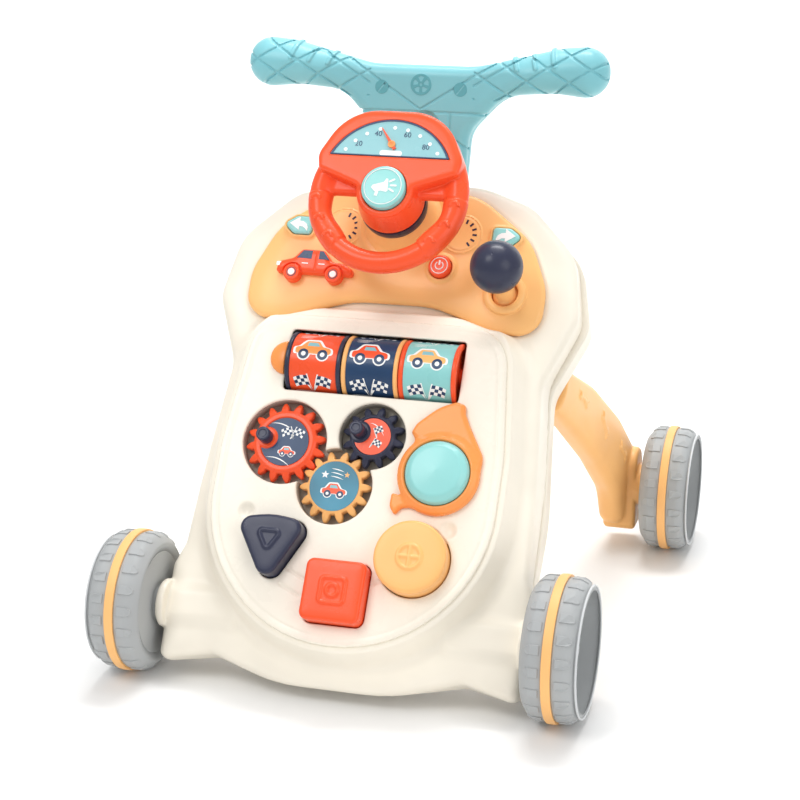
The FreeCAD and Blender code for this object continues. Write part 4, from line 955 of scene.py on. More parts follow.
# ---------------------------------------------------------------- shape blocks
def blocks():
    """Blocks with round edges and a raised plain mark on each."""
    marks = {"triangle": ("navy", TRIANGLE, "triangle"), "square": ("red", SQUARE, "square"),
             "circle": ("yellow", DISC, "circle")}
    for name, (look, line, body) in marks.items():
        low, high = extent("block_" + name)
        mid = np.array(middle("block_" + name))
        if name == "triangle":
            mid = mid + (0.0, 4.0)

        def distance(u, v, n):
            flat = within(line, u, v)
            top = high[2] - 0.4 * np.clip((flat + 8.0) / 8.0, 0, 1) ** 2 - 0.9
            solid = both(flat, np.maximum(n - top, low[2] - n), 2.4)
            solid = join(solid, np.maximum(flat + 0.4, np.abs(n - 31.6) - 0.5), 0.4)
            if name == "circle":
                mark = np.abs(away(mid, u, v) - 9.0)
                beam = near([(mid[0] - 9.0, mid[1]), (mid[0] + 9.0, mid[1])], u, v)
                post = near([(mid[0], mid[1] - 9.0), (mid[0], mid[1] + 9.0)], u, v)
                mark = np.minimum(mark, np.minimum(beam, post))
            elif name == "square":
                mark = np.abs(within(round_box(mid, (19.0, 19.0), 3.0), u, v))
                inner = away(mid, u, v) - 4.5
                mark = np.minimum(mark, np.abs(inner))
            else:
                mark = np.abs(within(outline([(mid[0] - 9.5, mid[1] + 6.5, 2.5),
                                              (mid[0] + 9.5, mid[1] + 6.5, 2.5),
                                              (mid[0], mid[1] - 9.5, 2.5)][::-1]), u, v))
            solid = join(solid, np.hypot(mark, n - high[2] + 0.9) - 1.25, 0.7)
            hollow = slab(flat + 2.5, n, low[2] - 5.0, high[2] - 3.4)
            return np.maximum(less(solid, hollow), n - high[2])

        add("block_" + name, [(sculpt(low, high, 0.6, distance), look)], body)


# ---------------------------------------------------------------- console
def console():
    """Console shell: crowned, with bezels, gauges, the start ring and the lever's boot ring."""
    turns = {side: middle("turn_button_" + side) for side in ("left", "right")}
    start = middle("start_button")
    lever = (91.5, 304.0)
    gauges = ((-49.0, 352.5), (49.0, 352.5))
    low, high = extent("console_cover")

    def turn_line(side):
        mid = turns[side]
        point = 1 if side == "right" else -1
        corners = [(-12.0, -7.5, 3.0), (3.0, -7.5, 6.0), (12.0, 0.5, 3.5), (2.0, 7.5, 6.0),
                   (-12.0, 7.5, 3.0)]
        return outline([(mid[0] + point * x, mid[1] + y, r) for x, y, r in corners][::point])

    lines = {side: turn_line(side) for side in turns}

    def distance(u, v, n):
        flat = within(CONSOLE, u, v)
        top = CONSOLE_N - 2.6 * np.clip((flat + 22.0) / 22.0, 0, 1) ** 2
        shell = both(flat, n - top, 3.0)
        steer = away(STEER_MID, u, v)
        column = both(steer - 36.0, n - CONSOLE_N - 1.0, 1.0)
        shell = join(shell, column, 7.0)
        for line in lines.values():
            shell = join(shell, both(within(line, u, v) - 2.8, n - CONSOLE_N - 2.4, 1.6), 2.0)
        for mid in gauges:
            reach = away(mid, u, v)
            face = both(reach - 16.5, n - CONSOLE_N - 1.1, 0.6)
            face = less(face, np.hypot(reach - 14.9, n - CONSOLE_N - 1.2) - 0.8, 0.3)
            shell = join(shell, face, 0.4)
        reach = away(start, u, v)
        shell = join(shell, both(reach - 12.0, n - CONSOLE_N - 2.4, 1.6), 2.0)
        around = away(lever, u, v)
        boot = both(around - 17.0, n - CONSOLE_N - 5.0 + 0.25 * np.abs(around - 13.0), 2.2)
        shell = join(shell, boot, 3.0)
        shell = less(shell, np.hypot(around - 17.6, n - CONSOLE_N - 0.6) - 0.8, 0.5)
        shell = both(shell, low[2] - n, 0.0)
        shell = less(shell, slab(flat + WALL, n, -5.0, CONSOLE_N - 5.0))
        for line in lines.values():
            shell = less(shell, within(line, u, v) - GAP, 0.8)
        shell = less(shell, reach - 9.4, 0.8)
        return less(shell, around - 10.6, 1.0)

    mesh = sculpt(low, high, 0.9, distance)
    parts = [(mesh, "console")]
    for mid in gauges:
        for k in range(6):
            turn = math.radians(72.0 - 25.0 * k)
            x, y = math.cos(turn), math.sin(turn)
            tick = [(9.0, 0.8), (12.6, 0.8), (12.6, -0.8), (9.0, -0.8)]
            mark = [(mid[0] + a * x - b * y, mid[1] + a * y + b * x) for a, b in tick]
            parts.append((plate([mark], CONSOLE_N + 0.6, CONSOLE_N + 1.25), "navy"))
    add("console_cover", parts)

    for side, mid in turns.items():
        low_b, high_b = extent("turn_button_" + side)
        line = lines[side]
        point = 1 if side == "right" else -1

        def button(u, v, n):
            flat = within(line, u, v)
            top = high_b[2] - 0.4 - 0.7 * np.clip((flat + 6.0) / 6.0, 0, 1) ** 2
            return both(flat, np.maximum(n - top, low_b[2] - n), 1.4)

        arrow = [(mid[0] + point * x, mid[1] + y) for x, y in
                 ((-8.6, -5.6), (-8.8, -2.4), (-7.4, 0.6), (-4.6, 2.5), (-1.4, 2.9), (-1.4, 6.2),
                  (6.8, 0.6), (-1.4, -4.9), (-1.4, -1.6), (-4.4, -1.9), (-6.6, -3.3))]
        parts = [(sculpt(low_b, high_b, 0.4, button), "teal"),
                 (plate([arrow], high_b[2] - 0.8, high_b[2] - 0.02), "white")]
        add("turn_button_" + side, parts, "turn_" + side)

    low_s, high_s = extent("start_button")
    top = high_s[2]
    line = outline([(0.01, low_s[2], 0.005), (9.0, low_s[2], 0.4), (9.0, top - 0.4, 1.4),
                    (0.01, top - 0.2, 0.005)])
    ring = hoop(6.6, top - 0.35, 0.35, 48)
    key = [[(-0.7, 0.4), (0.7, 0.4), (0.7, 4.2), (-0.7, 4.2)]]
    arc = tubes([[(3.2 * math.sin(a), 3.2 * math.cos(a), top - 0.25)
                  for a in np.linspace(0.6, 2 * math.pi - 0.6, 24)]], 0.45)
    parts = [(turned(line, 72), "red"), (ring, "white"), (arc, "white"),
             (plate(key, top - 0.5, top - 0.02), "white")]
    for mesh, _ in parts:
        shifted(mesh, (*start, 0))
    add("start_button", parts, "start")


def toy_car():
    """Relief car with a cabin, windows, a door line, wheels and a lamp."""
    low, high = extent("toy_car")
    mid = np.array([(low[0] + high[0]) / 2, 316.0])
    body = outline([(-34.5, -7.5, 2.0), (34.5, -7.5, 2.0), (34.5, -2.0, 3.0), (26.0, 3.0, 5.0),
                    (15.0, 4.0, 5.0), (7.0, 14.0, 5.0), (-13.0, 14.5, 5.0), (-20.0, 6.0, 6.0),
                    (-33.0, 2.0, 4.0)]) * (0.93, 0.93) + mid
    wheels = [mid + (x, -7.5) for x in (-18.0, 17.0)]
    top = high[2]

    def distance(u, v, n):
        flat = within(body, u, v)
        crown = top - 1.2 - 1.4 * np.clip((flat + 5.0) / 5.0, 0, 1) ** 2
        car = both(flat, n - crown, 1.6)
        for spot in wheels:
            reach = away(spot, u, v)
            car = less(car, both(reach - 8.2, top - 3.4 - n), 0.6)
            tyre = both(reach - 7.0, n - top + 0.3, 1.4)
            tyre = less(tyre, np.hypot(reach - 4.4, n - top + 0.2) - 0.6, 0.3)
            car = join(car, tyre, 0.6)
        door = np.hypot(u - mid[0] - 1.0, n - top + 1.2) - 0.55
        car = less(car, np.maximum(door, np.abs(v - mid[1] - 3.0) - 10.0), 0.3)
        return np.maximum(car, low[2] - n)

    low[1], high[1] = mid[1] - 16.0, mid[1] + 15.0
    car = sculpt(low, high, 0.55, distance)
    back = [(mid[0] + 3.0, mid[1] + 4.6), (mid[0] + 12.0, mid[1] + 4.6),
            (mid[0] + 6.0, mid[1] + 11.6), (mid[0] + 3.0, mid[1] + 11.6)]
    front = [(mid[0] - 15.5, mid[1] + 5.0), (mid[0] - 3.0, mid[1] + 4.6),
             (mid[0] - 3.0, mid[1] + 11.6), (mid[0] - 10.5, mid[1] + 11.6)]
    lamp = round_box(mid + (-30.0, -0.6), (4.0, 3.4), 0.8)
    parts = [(car, "red")]
    for shape in (back, front):
        parts.append((plate([shape], top - 2.2, top - 1.05, 0.1), "sticker_navy"))
    parts.append((plate([lamp], top - 3.6, top - 1.7), "white"))
    for x in (-8.0, 6.0):
        dash = round_box(mid + (x, 0.6), (5.4, 0.9), 0.4)
        parts.append((plate([dash], top - 1.6, top - 1.08), "white"))
    for spot in wheels:
        parts.append((plate([circle(spot, 3.9, 32)], top - 1.0, top - 0.32), "navy"))
        parts.append((plate([circle(spot, 2.7, 32)], top - 0.9, top - 0.2), "white"))
    add("toy_car", parts)


# ---------------------------------------------------------------- shift lever
def shift_lever():
    """Ball knob and waisted stem, standing along the lever's leaning axis."""
    knob_low, knob_high = extent("shift_knob")
    knob = (knob_low + knob_high) / 2
    radius = (knob_high[0] - knob_low[0]) / 2
    pivot = np.array([knob[0], 304.0, 8.2])
    lean = math.atan2(knob[1] - pivot[1], knob[2] - pivot[2])
    length = math.hypot(knob[1] - pivot[1], knob[2] - pivot[2])
    stand = Matrix.Rotation(-lean, 4, "X")
    boot_r = 11.5
    boot = [(boot_r * math.cos(a), boot_r * math.sin(a)) for a in np.linspace(0.0, 0.78, 12)]
    stem = np.array([(0.01, -2.2), (4.0, -2.2), (4.4, -0.4), *boot, (8.0, 9.6), (7.6, 16.0),
                     (7.6, 22.0), (8.2, 25.5), (9.0, length - radius + 1.0),
                     (0.01, length - radius + 2.0)])
    ball = [(0.01, -radius)]
    ball += [(radius * math.cos(a), radius * math.sin(a))
             for a in np.linspace(-1.15, 1.5, 60)]
    ball += [(0.01, radius)]
    parts = [(shifted(shifted(turned(np.array(ball), 96), (0, 0, length)), pivot, stand),
              "navy")]
    add("shift_knob", parts, "lever")
    pin = tubes([[(-13.0, 0, 0), (13.0, 0, 0)]], 1.9)
    parts = [(shifted(turned(stem, 72), pivot, stand), "console"),
             (shifted(pin, pivot), "steel")]
    add("shift_stem", parts, "lever")


# ---------------------------------------------------------------- steering
def steering():
    """Column, collar, wheel, dial, pointer and horn button."""
    low, high = extent("steering_column")
    r0 = (high[0] - low[0]) / 2
    line = outline([(r0 - 4.0, low[2], 0.5), (r0, low[2], 0.5), (r0 - 5.5, low[2] + 7.0, 12.0),
                    (25.0, high[2], 1.5), (5.4, high[2], 0.3), (5.4, high[2] - 2.4, 0.3),
                    (22.0, high[2] - 2.4, 0.5)])
    add("steering_column", [(shifted(turned(line, 128), (*STEER_MID, 0)), "console")])
    low, high = extent("steering_collar")
    line = outline([(5.4, low[2], 0.3), (26.6, low[2], 0.8), (27.0, (low[2] + high[2]) / 2, 3.0),
                    (26.6, high[2], 0.8), (5.4, high[2], 0.3)])
    add("steering_collar", [(shifted(turned(line, 128), (*STEER_MID, 0)), "navy")])
    steering_wheel()
    dial()
    low, high = extent("horn_cap")
    radius, foot, top = (high[0] - low[0]) / 2, low[2], high[2]
    line = outline([(0.01, foot, 0.005), (radius, foot, 0.4), (radius, top - 1.6, 1.2),
                    (radius - 2.0, top - 0.5, 0.8), (radius - 2.8, top - 0.9, 0.3),
                    (radius - 3.4, top - 0.5, 0.3), (0.01, top - 0.1, 0.005)])
    halo = hoop(radius - 2.7, top - 0.55, 0.38, 72)
    bell = [(-5.6, -4.8), (-9.0, -1.4), (-8.0, 0.6), (0.6, 3.4), (2.4, 6.6), (3.8, 6.0),
            (4.6, -3.6), (3.4, -4.6), (-1.0, -3.8)]
    grip = [(-5.2, -4.9), (-2.6, -4.4), (-3.2, -8.4), (-5.6, -8.0)]
    rays = [round_box((0.0, 0.0), (5.2, 1.4), 0.6) for _ in range(3)]
    parts = [(turned(line, 96), "teal"), (halo, "white"),
             (plate([bell], top - 0.4, top - 0.02), "white"),
             (plate([grip], top - 0.4, top - 0.02), "white")]
    for ray, (x, y, angle) in zip(rays, ((8.0, 5.0, 0.5), (9.6, 0.9, 0.0), (8.4, -3.0, -0.5))):
        flat = plate([ray], top - 0.4, top - 0.02)
        parts.append((shifted(flat, (x - 1.0, y, 0), Matrix.Rotation(angle, 4, "Z")), "white"))
    for mesh, _ in parts:
        shifted(mesh, (*STEER_MID, 0))
    add("horn_cap", parts, "horn_button")


def steering_wheel():
    """Rim with side grips, upper housing and hub in one soft moulding."""
    low, high = extent("steering_wheel")
    mid_r, tube, rim_n = 55.5, 8.5, 66.0
    housing = outline(mirrored([(19.0, -2.0, 10.0), (24.0, 3.0, 10.0), (56.0, 15.0, 4.0),
                                (58.5, 27.0, 14.0), (39.0, 66.0, 42.0)]))
    dial_line = dial_outline(0.4)

    def distance(u, v, n):
        x, y = u - STEER_MID[0], v - STEER_MID[1]
        reach = np.hypot(x, y)
        turn = np.degrees(np.arctan2(y, np.abs(x)))
        rim = np.hypot(reach - mid_r, n - rim_n) - tube
        web = both(both(reach - mid_r, -y - 1.0), np.abs(n - rim_n + 1.0) - 5.0, 4.0)
        wheel = join(rim, web, 5.0)
        grip_end = np.abs(turn + 27.0) - 25.0
        wave = 0.9 * np.cos(np.radians(turn) * 9.0)
        grip = np.hypot((reach - mid_r + 0.4 + 0.6 * wave), n - rim_n) - tube - 1.0 - 0.4 * wave
        grip = both(grip, grip_end * mid_r * math.pi / 180.0, 0.8)
        wheel = join(wheel, grip, 0.4)
        for angle in (-9.0, -27.0, -44.0):
            cx = (mid_r + 1.0) * math.cos(math.radians(angle))
            cy = (mid_r + 1.0) * math.sin(math.radians(angle))
            arc = np.hypot(np.abs(x) - cx, y - cy)
            bow = np.hypot(arc - 3.4, n - rim_n - tube - 0.8) - 1.3
            bow = np.maximum(bow, -(y - cy) - 0.4)
            wheel = join(wheel, bow, 0.6)
        flat = within(housing, x, y)
        top = high[2] - 1.0 * np.clip((flat + 6.0) / 6.0, 0, 1) ** 2
        case = both(flat, np.maximum(n - top, 60.0 - n), 2.4)
        wheel = join(wheel, case, 0.8)
        hub_r = 27.0 - 4.5 * np.clip((n - 53.0) / 27.0, 0, 1)
        hub = both(reach - hub_r, np.maximum(n - 80.0, 53.0 - n), 3.0)
        wheel = join(wheel, hub, 2.5)
        shaft = np.maximum(reach - 5.0, np.abs(n - 44.0) - 11.0)
        wheel = join(wheel, shaft)
        wheel = less(wheel, both(reach - 17.8, 71.0 - n), 0.8)
        seat = np.maximum(within(dial_line, u, v), high[2] - 1.5 - n)
        return less(wheel, seat, 0.5)

    low[2] = 33.0
    add("steering_wheel", [(sculpt(low - (1, 1, 0), high + (1, 1, 0), 0.75, distance), "red")],
        "steering")


def dial_outline(grow=0.0):
    """Half-moon outline of the dial."""
    low, high = extent("dial_plate")
    half, rise = (high[0] - low[0]) / 2 + grow, high[1] - low[1] + grow
    radius = (half * half + rise * rise) / (2 * rise)
    reach = math.asin(half / radius)
    base = low[1] - grow / 2
    arc = [(radius * math.sin(a), base + rise - radius + radius * math.cos(a))
           for a in np.linspace(reach, -reach, 48)]
    return np.array(arc)


def dial():
    """Printed dial with its border, dots, numbers, counter window and pointer."""
    low, high = extent("dial_plate")
    top = high[2]
    face = dial_outline()
    centre = np.array([0.0, low[1] + 12.0])
    inner = centre + (face - centre) * (0.955, 0.93)
    parts = [(plate([face], low[2], top - 0.25), "dial"),
             (plate([face, inner], top - 0.6, top + 0.15), "sticker_navy")]
    base = STEER_MID[1]
    dots = [(-36.6, 31.7), (-29.7, 39.4), (-21.1, 45.6), (-10.8, 50.0), (1.0, 51.5),
            (11.8, 50.0), (22.4, 45.6), (31.4, 39.2), (38.6, 31.6)]
    for x, y in dots:
        parts.append((plate([circle((x * 0.985, base + y - 0.7), 1.5, 24)], top - 0.3,
                            top - 0.05), "white"))
    for text, x, y in (("20", -26.2, 36.2), ("40", -11.6, 45.2), ("60", 12.0, 45.2),
                       ("80", 28.0, 35.6)):
        parts.append((number(text, (x, base + y), 6.0, top - 0.3, top - 0.06), "sticker_navy"))
    parts.append((plate([round_box((0.8, base + 29.3), (18.0, 4.6), 2.2)], top - 0.3,
                        top - 0.05), "white"))
    add("dial_plate", parts, "steering")
    low, high = extent("dial_needle")
    pivot = (0.6, base + 36.6)
    line = outline([(0.01, low[2], 0.005), (3.0, low[2], 0.2), (3.0, high[2], 0.5),
                    (1.6, high[2], 0.2), (1.6, high[2] - 0.4, 0.1), (0.01, high[2] - 0.4, 0.005)])
    arm = [(-1.4, -5.0), (1.4, -5.0), (1.1, 4.0), (0.35, 16.5), (-0.35, 16.5), (-1.1, 4.0)]
    blade = shifted(plate([arm], low[2], low[2] + 1.1, 0.2), (*pivot, 0),
                    Matrix.Rotation(math.radians(36.0), 4, "Z"))
    parts = [(blade, "red"), (shifted(turned(line, 48), (*pivot, 0)), "horn")]
    add("dial_needle", parts, "steering")


# ---------------------------------------------------------------- handle
def handle():
    """Two mouldings of the push handle: bulbous grips, engraved grid, ribs and emblem."""
    line = outline(mirrored(HANDLE_SOFT_HALF))
    emblem = (0.0, -14.0)
    slope = math.radians(31.0)

    def engraved(x, y, z, solid):
        """The solid with the front's engraved lines."""
        grid = []
        for direction in (-1, 1):
            across = x * math.sin(slope) * direction + (y - 2.0) * math.cos(slope)
            cell = 18.0
            grid.append(np.abs((across + cell / 2) % cell - cell / 2))
        keep = np.maximum(44.0 - np.abs(x), 0) + np.maximum(-24.0 - y, 0)
        lines = np.hypot(np.minimum(*grid), keep)
        panel = np.maximum(np.abs(y + 36.0), np.maximum(np.abs(x) - 58.0, 0))
        fan = near([(0.0, -34.0), (44.0, -6.0), (60.0, 4.0)], np.abs(x), y)
        posts = np.hypot(np.abs(np.abs(x) - 25.0), np.maximum(y + 36.0, 0))
        cross = near([(6.0, -40.0), (42.0, -66.0)], np.abs(x), y)
        lines = np.minimum(np.minimum(lines, panel), np.minimum(fan, np.minimum(posts, cross)))
        cut = np.maximum(lines - 0.8, -solid - 1.3)
        return less(solid, np.where(z > 0, cut, 9.0), 0.15)

    def distance(x, y, z):
        flat = within(line, x, y)
        share = np.clip((np.abs(x) - 55.0) / 50.0, 0, 1)
        share = share * share * (3 - 2 * share)
        solid = both(flat, np.abs(z) - 15.0 - 6.5 * share, 10.0 + 10.5 * share)
        for x0, y0, angle in ((76.0, 8.0, 1.15), (92.0, 10.0, 1.2), (108.0, 12.0, 1.3)):
            reach = 8.5
            ax, ay = x0 - reach * math.cos(angle), y0 + reach * math.sin(angle)
            bx, by = x0 + reach * math.cos(angle), y0 - reach * math.sin(angle)
            along = near([(ax, ay), (bx, by)], np.abs(x), y)
            rib = np.maximum(np.maximum(along - 1.5, solid - 1.7), -z)
            solid = join(solid, rib, 1.2)
        solid = engraved(x, y, z, solid)
        recess = np.hypot(x - 4.0, y + 48.0) - 13.0
        recess = np.maximum(recess, 10.5 - z)
        return less(solid, recess, 0.8)

    for half, side in (("front", 1), ("rear", -1)):
        def one(x, y, z):
            solid = distance(x, y, z)
            shell = np.maximum(solid, -(solid + WALL))
            return both(shell, -side * z, 0.5)

        low, high = extent("handle_" + half, HANDLE)
        parts = [(sculpt(low, high, 0.75, one), "handle")]
        if half == "front":
            z0 = 15.1
            ring = circle(emblem, 8.6, 48)
            holes = []
            for k in range(5):
                turn = 2 * math.pi * k / 5 + math.pi / 2
                wedge = [(emblem[0] + r * math.cos(turn + a), emblem[1] + r * math.sin(turn + a))
                         for r, a in ((2.6, -0.28), (6.6, -0.42), (6.9, 0.0), (6.6, 0.42),
                                      (2.6, 0.28))]
                holes.append(wedge)
            hub = circle(emblem, 1.2, 16)
            parts.append((plate([ring, *holes, hub], z0 - 0.6, z0 + 0.35, 0.1), "emblem"))
            for side_x in (-1, 1):
                mid = np.array((33.0 * side_x, emblem[1] - 3.0))
                shield = circle(mid, 5.6, 32)
                parts.append((plate([shield, *bolt(mid)], z0 - 1.2, z0 + 0.2, 0.1),
                              "emblem"))
            floor = circle((4.0, -48.0), 12.4, 40)
            parts.append((plate([floor], 9.6, 10.4, 0.1), "dark_teal"))
        add("handle_" + half, parts, where=HANDLE)


def bolt(mid):
    """Slanted slot across a round mark."""
    x, y = mid
    return [[(x - 3.4, y - 3.6), (x - 2.4, y - 4.2), (x + 3.6, y + 3.4), (x + 2.6, y + 4.0)]]


# ---------------------------------------------------------------- legs
def spanner(x, y, centre, angle, size):
    """Flat distance of a plain open-ended spanner."""
    px, py = x - centre[0], y - centre[1]
    a = math.cos(angle) * px + math.sin(angle) * py
    b = -math.sin(angle) * px + math.cos(angle) * py
    bar = both(np.abs(a) - size, np.abs(b) - 0.17 * size)
    for end in (-1, 1):
        head = np.hypot(a - end * size, b) - 0.38 * size
        mouth = np.maximum(np.abs(b) - 0.15 * size, -(end * a - size))
        bar = join(bar, np.maximum(head, -mouth), 0.8)
    return bar


def legs():
    """Curved rear legs with raised tools on both faces, rounded over their foot brackets."""
    line = outline(LEG)
    splay = math.radians(6.7)
    root_x, root_y, thick = 110.5, -30.0, 26.0
    axle_low, axle_high = extent("rear_axle", ROW)
    axle_y, axle_z = (axle_low[1] + axle_high[1]) / 2, (axle_low[2] + axle_high[2]) / 2
    to_panel = np.array(PANEL.inverted())
    tools = [((92.0, 141.0), 2.1, 12.0), ((150.0, 98.0), 2.3, 11.0), ((30.0, 183.0), 2.5, 11.0)]
    for side, name in ((-1, "left"), (1, "right")):
        low, high = extent("leg_" + name, ROW)
        reach_x = max(abs(low[0]), abs(high[0]))
        bracket_x = (reach_x - 36.0 - 0.5, reach_x - 6.0)

        def distance(x, y, z):
            x = x * side
            dx, dy = x - root_x - thick / 2, y - root_y
            across = dx * math.cos(splay) - dy * math.sin(splay)
            back = dx * math.sin(splay) + dy * math.cos(splay) + root_y
            flat = leg_flat(back, z)
            crown = thick / 2 - 3.4 * np.clip((flat + 20.0) / 20.0, 0, 1) ** 2
            blade = both(flat, np.abs(across) - crown, 7.0)
            marks = 9.0
            for centre, angle, size in tools:
                marks = np.minimum(marks, spanner(back, z, centre, angle, size))
            lift = both(marks, np.abs(across) - crown - 1.5, 0.5)
            blade = join(blade, lift, 0.4)
            foot_flat = foot(y, z)
            bracket = both(foot_flat, np.abs(x - sum(bracket_x) / 2) - 14.6, 4.0)
            axle = np.hypot(y - axle_y, z - axle_z)
            collar = both(axle - 18.0, np.abs(x - reach_x + 17.0) - 17.0, 1.5)
            solid = join(join(collar, bracket, 1.0), blade, 0.5)
            level = (to_panel[2][1] * y + to_panel[2][2] * z) * MM + to_panel[2][3]
            solid = both(solid, level - BACK_N, 1.0)
            return less(solid, axle - 4.1)

        def leg_flat(back, z):
            table_b = np.arange(-60.0, 215.0, 1.0)
            table_z = np.arange(0.0, 250.0, 1.0)
            key = within(line, table_b[:, None], table_z[None, :])
            bi = np.clip((back + 60.0), 0, len(table_b) - 1.001)
            zi = np.clip(z + 0 * back, 0, len(table_z) - 1.001)
            b0, z0 = bi.astype(int), zi.astype(int)
            fb, fz = bi - b0, zi - z0
            return (key[b0, z0] * (1 - fb) * (1 - fz) + key[b0 + 1, z0] * fb * (1 - fz)
                    + key[b0, z0 + 1] * (1 - fb) * fz + key[b0 + 1, z0 + 1] * fb * fz)

        def foot(y, z):
            lo, hi = 15.5, 90.0
            shape = outline([(axle_y - 17.0, lo, 9.0), (axle_y + 21.0, lo, 9.0),
                             (axle_y + 21.0, hi, 18.0), (axle_y - 17.0, hi, 18.0)])
            return within(shape, y, z)

        add("leg_" + name, [(sculpt(low, high, 1.3, distance), "leg")], where=ROW)


# ---------------------------------------------------------------- wheels
TREADS = 20                  # pads in each of a tyre's two rows


def wheels():
    """Crowned grey tyres with two rows of raised tread marks, bands and hubs."""
    for name in ("front_left", "front_right", "rear_left", "rear_right"):
        low, high = extent("wheel_" + name, ROW)
        side = -1 if name.endswith("left") else 1
        width = high[0] - low[0]
        band_low, band_high = extent("band_" + name, ROW)
        band_r = (band_high[2] - band_low[2]) / 2
        radius = (high[2] - low[2]) / 2
        mid_y, mid_z = (low[1] + high[1]) / 2, (low[2] + high[2]) / 2
        inner_x = min(abs(low[0]), abs(high[0]))
        band_half = (band_high[0] - band_low[0]) / 2
        hole = radius - 6.5
        m = width / 2

        def crown(x):
            return radius - 1.1 - 0.075 * max(0.0, abs(x - m) - (m - 11.0)) ** 2

        outer = [(crown(x), x) for x in np.linspace(0.6, m - band_half, 16)]
        outer += [(radius - 2.5, m - band_half), (radius - 2.5, m + band_half)]
        outer += [(crown(x), x) for x in np.linspace(m + band_half, width - 0.6, 16)]
        inside = outline([(4.06, 24.0, 0.2), (4.06, 0.0, 0.2), (12.0, 0.0, 0.8),
                          (13.5, 3.0, 1.5), (hole - 9.0, 3.4, 8.0), (hole - 3.0, 0.6, 2.0)])
        outside = outline([(hole + 2.0, width, 0.9), (hole, width - 2.4, 2.0),
                           (hole - 1.5, 16.5, 4.0), (24.0, 16.0, 3.0), (17.0, 20.0, 4.0),
                           (13.0, 28.0, 1.5), (10.0, 28.0, 1.0), (9.3, 24.0, 0.5)])
        line = np.array([*inside, *outer, *outside])
        body = turned(line, 144)
        pads = bmesh.new()
        for k in range(TREADS):
            for row, out in ((m - 11.6, -1), (m + 11.6, 1)):
                middle_turn = 2 * math.pi * (k + 0.25 * out) / TREADS
                shape = [(1.6 + 4.4 * math.cos(t), 3.6 * math.sin(t))
                         for t in np.linspace(-math.pi / 2, math.pi / 2, 9)]
                shape = [(-5.6, -3.6)] + shape + [(-5.6, 3.6)]
                rings = []
                for lift, shrink in ((-0.6, 0.0), (0.8, 0.0), (1.05, 0.35)):
                    ring = []
                    for a, b in shape:
                        x = row + out * (a - shrink * np.sign(a))
                        reach = crown(x) + lift
                        turn = middle_turn + (b - shrink * np.sign(b)) / radius
                        ring.append(pads.verts.new(
                            (reach * math.cos(turn), reach * math.sin(turn), x)))
                    rings.append(ring)
                for low_ring, high_ring in zip(rings[:-1], rings[1:]):
                    for i in range(len(shape)):
                        j = (i + 1) % len(shape)
                        pads.faces.new((low_ring[i], low_ring[j], high_ring[j], high_ring[i]))
                pads.faces.new(rings[-1])
                pads.faces.new(rings[0][::-1])
        bmesh.ops.recalc_face_normals(pads, faces=pads.faces)
        tread = bpy.data.meshes.new("tread")
        pads.to_mesh(tread)
        pads.free()
        spokes = []
        for k in range(5):
            turn = 2 * math.pi * k / 5
            spokes.append([(r * math.cos(turn), r * math.sin(turn), h)
                           for r, h in ((14.0, 18.6), (24.0, 16.9), (34.0, 16.5),
                                        (hole - 3, 16.5))])
        rim = hoop(hole + 1.2, width - 0.9, 0.8, 120)
        parts = [(body, "tyre"), (tread, "tyre"), (tubes(spokes, 1.6), "tyre"),
                 (rim, "tyre_pale")]
        outward = Matrix.Rotation(side * math.pi / 2, 4, "Y")
        for mesh, _ in parts:
            shifted(mesh, (side * inner_x, mid_y, mid_z), outward)
        add("wheel_" + name, parts, name + "_wheel", ROW)
        band = outline([(band_r - 2.5, m - band_half, 0.2), (band_r - 0.4, m - band_half, 0.5),
                        (band_r, m, 20.0), (band_r - 0.4, m + band_half, 0.5),
                        (band_r - 2.5, m + band_half, 0.2)])
        ring = shifted(turned(band, 192), (side * inner_x, mid_y, mid_z), outward)
        add("band_" + name, [(ring, "band")], name + "_wheel", ROW)


def axle_caps():
    """Domed push-on caps on the four axle ends."""
    parts = []
    for axle in ("front_axle", "rear_axle"):
        a_low, a_high = extent(axle, ROW)
        mid_y, mid_z = (a_low[1] + a_high[1]) / 2, (a_low[2] + a_high[2]) / 2
        for side in (-1, 1):
            line = outline([(0.01, 2.0, 0.005), (5.5, 1.6, 3.0), (9.0, -0.5, 2.0),
                            (9.0, -5.0, 0.5), (4.1, -5.0, 0.3), (4.1, 0.0, 0.2),
                            (0.01, 0.0, 0.005)])
            outward = Matrix.Rotation(side * math.pi / 2, 4, "Y")
            cap = shifted(turned(line, 64), (side * a_high[0], mid_y, mid_z), outward)
            parts.append((cap, "tyre_pale"))
    add("axle_caps", parts, where=ROW)


# ---------------------------------------------------------------- pieces kept as they are
def kept_nodes():
    """Finishes of the inner pieces whose shape stays as it is in the frame."""
    finishes = {"gear_tray": "pocket", "gear_posts": "pocket", "drum_shaft": "steel",
                "front_axle": "steel", "rear_axle": "steel", "steering_clip": "pocket",
                "horn_spring": "steel", "dome_spring": "steel", "battery_box": "pocket",
                "speaker": "pocket", "circuit_board": "board_green", "screws": "steel"}
    for node, look in finishes.items():
        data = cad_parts[node].data
        data.materials.clear()
        data.materials.append(LOOKS[look])


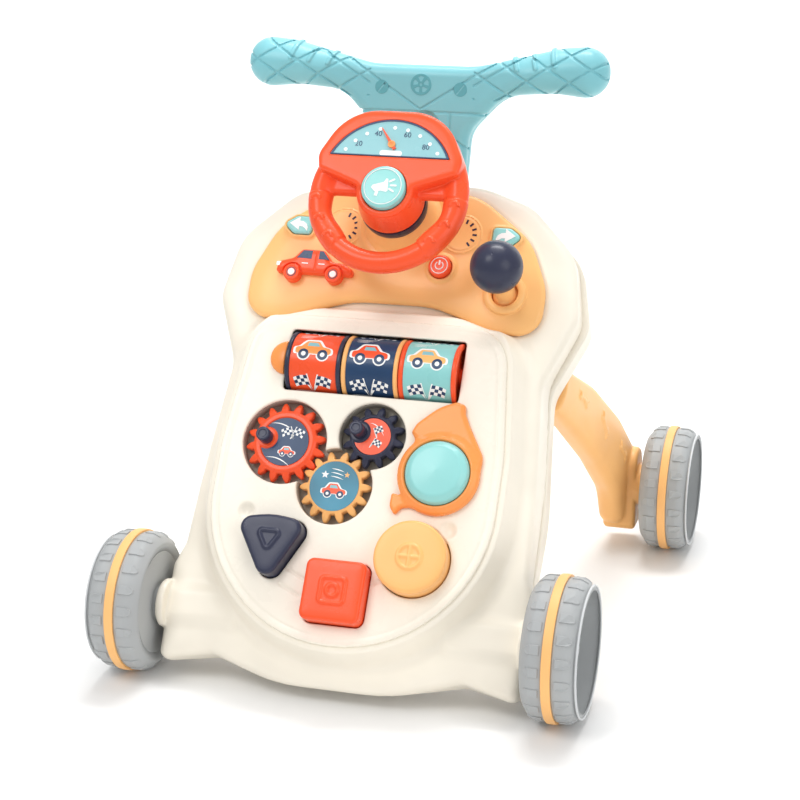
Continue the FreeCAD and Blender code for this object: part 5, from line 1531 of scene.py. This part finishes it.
# ---------------------------------------------------------------- camera, light and floor
def camera():
    """Camera at the walker's front right, a little above."""
    azimuth, elevation, roll = math.radians(16.39), math.radians(18.09), math.radians(-0.369)
    ahead = Vector((-math.sin(azimuth) * math.cos(elevation),
                    math.cos(azimuth) * math.cos(elevation), -math.sin(elevation)))
    right = Vector((math.cos(azimuth), math.sin(azimuth), 0.0))
    up = right.cross(ahead)
    across = right * math.cos(roll) + up * math.sin(roll)
    upright = up * math.cos(roll) - right * math.sin(roll)
    data = bpy.data.cameras.new("camera")
    data.lens = 87.66
    data.sensor_width = 36.0
    data.clip_end = 30.0
    eye = bpy.data.objects.new("camera", data)
    bpy.context.scene.collection.objects.link(eye)
    turn = Matrix((across, upright, -ahead)).transposed().to_4x4()
    eye.matrix_world = Matrix.Translation(Vector((0.42768, -1.47330, 0.67989))) @ turn
    bpy.context.scene.camera = eye


def area_light(name, place, target, size, power, colour=(1.0, 1.0, 1.0)):
    """Soft box aimed at a point."""
    data = bpy.data.lights.new(name, "AREA")
    data.shape = "DISK"
    data.size = size
    data.energy = power
    data.color = colour
    lamp = bpy.data.objects.new(name, data)
    lamp.location = place
    aim = Vector(target) - Vector(place)
    lamp.rotation_euler = aim.to_track_quat("-Z", "Y").to_euler()
    bpy.context.scene.collection.objects.link(lamp)


def studio():
    """Pale sweep, white surroundings and three soft boxes."""
    world = bpy.data.worlds.new("studio")
    bpy.context.scene.world = world
    world.use_nodes = True
    world.node_tree.nodes["Background"].inputs["Color"].default_value = (1.0, 1.0, 1.0, 1.0)
    world.node_tree.nodes["Background"].inputs["Strength"].default_value = 0.58
    area_light("key", (-0.9, -1.5, 2.1), (0, 0, 0.2), 1.1, 18.0)
    area_light("fill", (1.7, -1.2, 1.0), (0, 0, 0.2), 1.4, 9.5)
    area_light("top", (0.1, 0.3, 2.2), (0, 0, 0.2), 1.6, 11.0)
    area_light("backdrop", (0.0, 0.9, 2.6), (0, 3.0, 0.6), 1.6, 75.0)
    size, bend, depth = 6.0, 0.8, 3.0
    profile = [(-size, 0.0), (depth - bend, 0.0)]
    profile += [(depth - bend + bend * math.sin(a), bend - bend * math.cos(a))
                for a in np.linspace(0.1, math.pi / 2, 14)]
    profile += [(depth, size)]
    points = [(x, y, z) for y, z in profile for x in (-size, size)]
    faces = [(2 * i, 2 * i + 1, 2 * i + 3, 2 * i + 2) for i in range(len(profile) - 1)]
    sweep = to_mesh(points, faces)
    sweep.materials.append(plastic("paper_sweep", (0.90, 0.90, 0.895), 0.75, 0.02, 0.0,
                                   drift=0.01))
    floor = bpy.data.objects.new("floor", sweep)
    bpy.context.scene.collection.objects.link(floor)
    bpy.context.scene.view_settings.view_transform = "Standard"


camera()
studio()
kept_nodes()
for build in (front_shell, rear_cover, activity_board, gears, drums, horn, blocks, console,
              toy_car, shift_lever, steering, handle, legs, wheels, axle_caps):
    build()
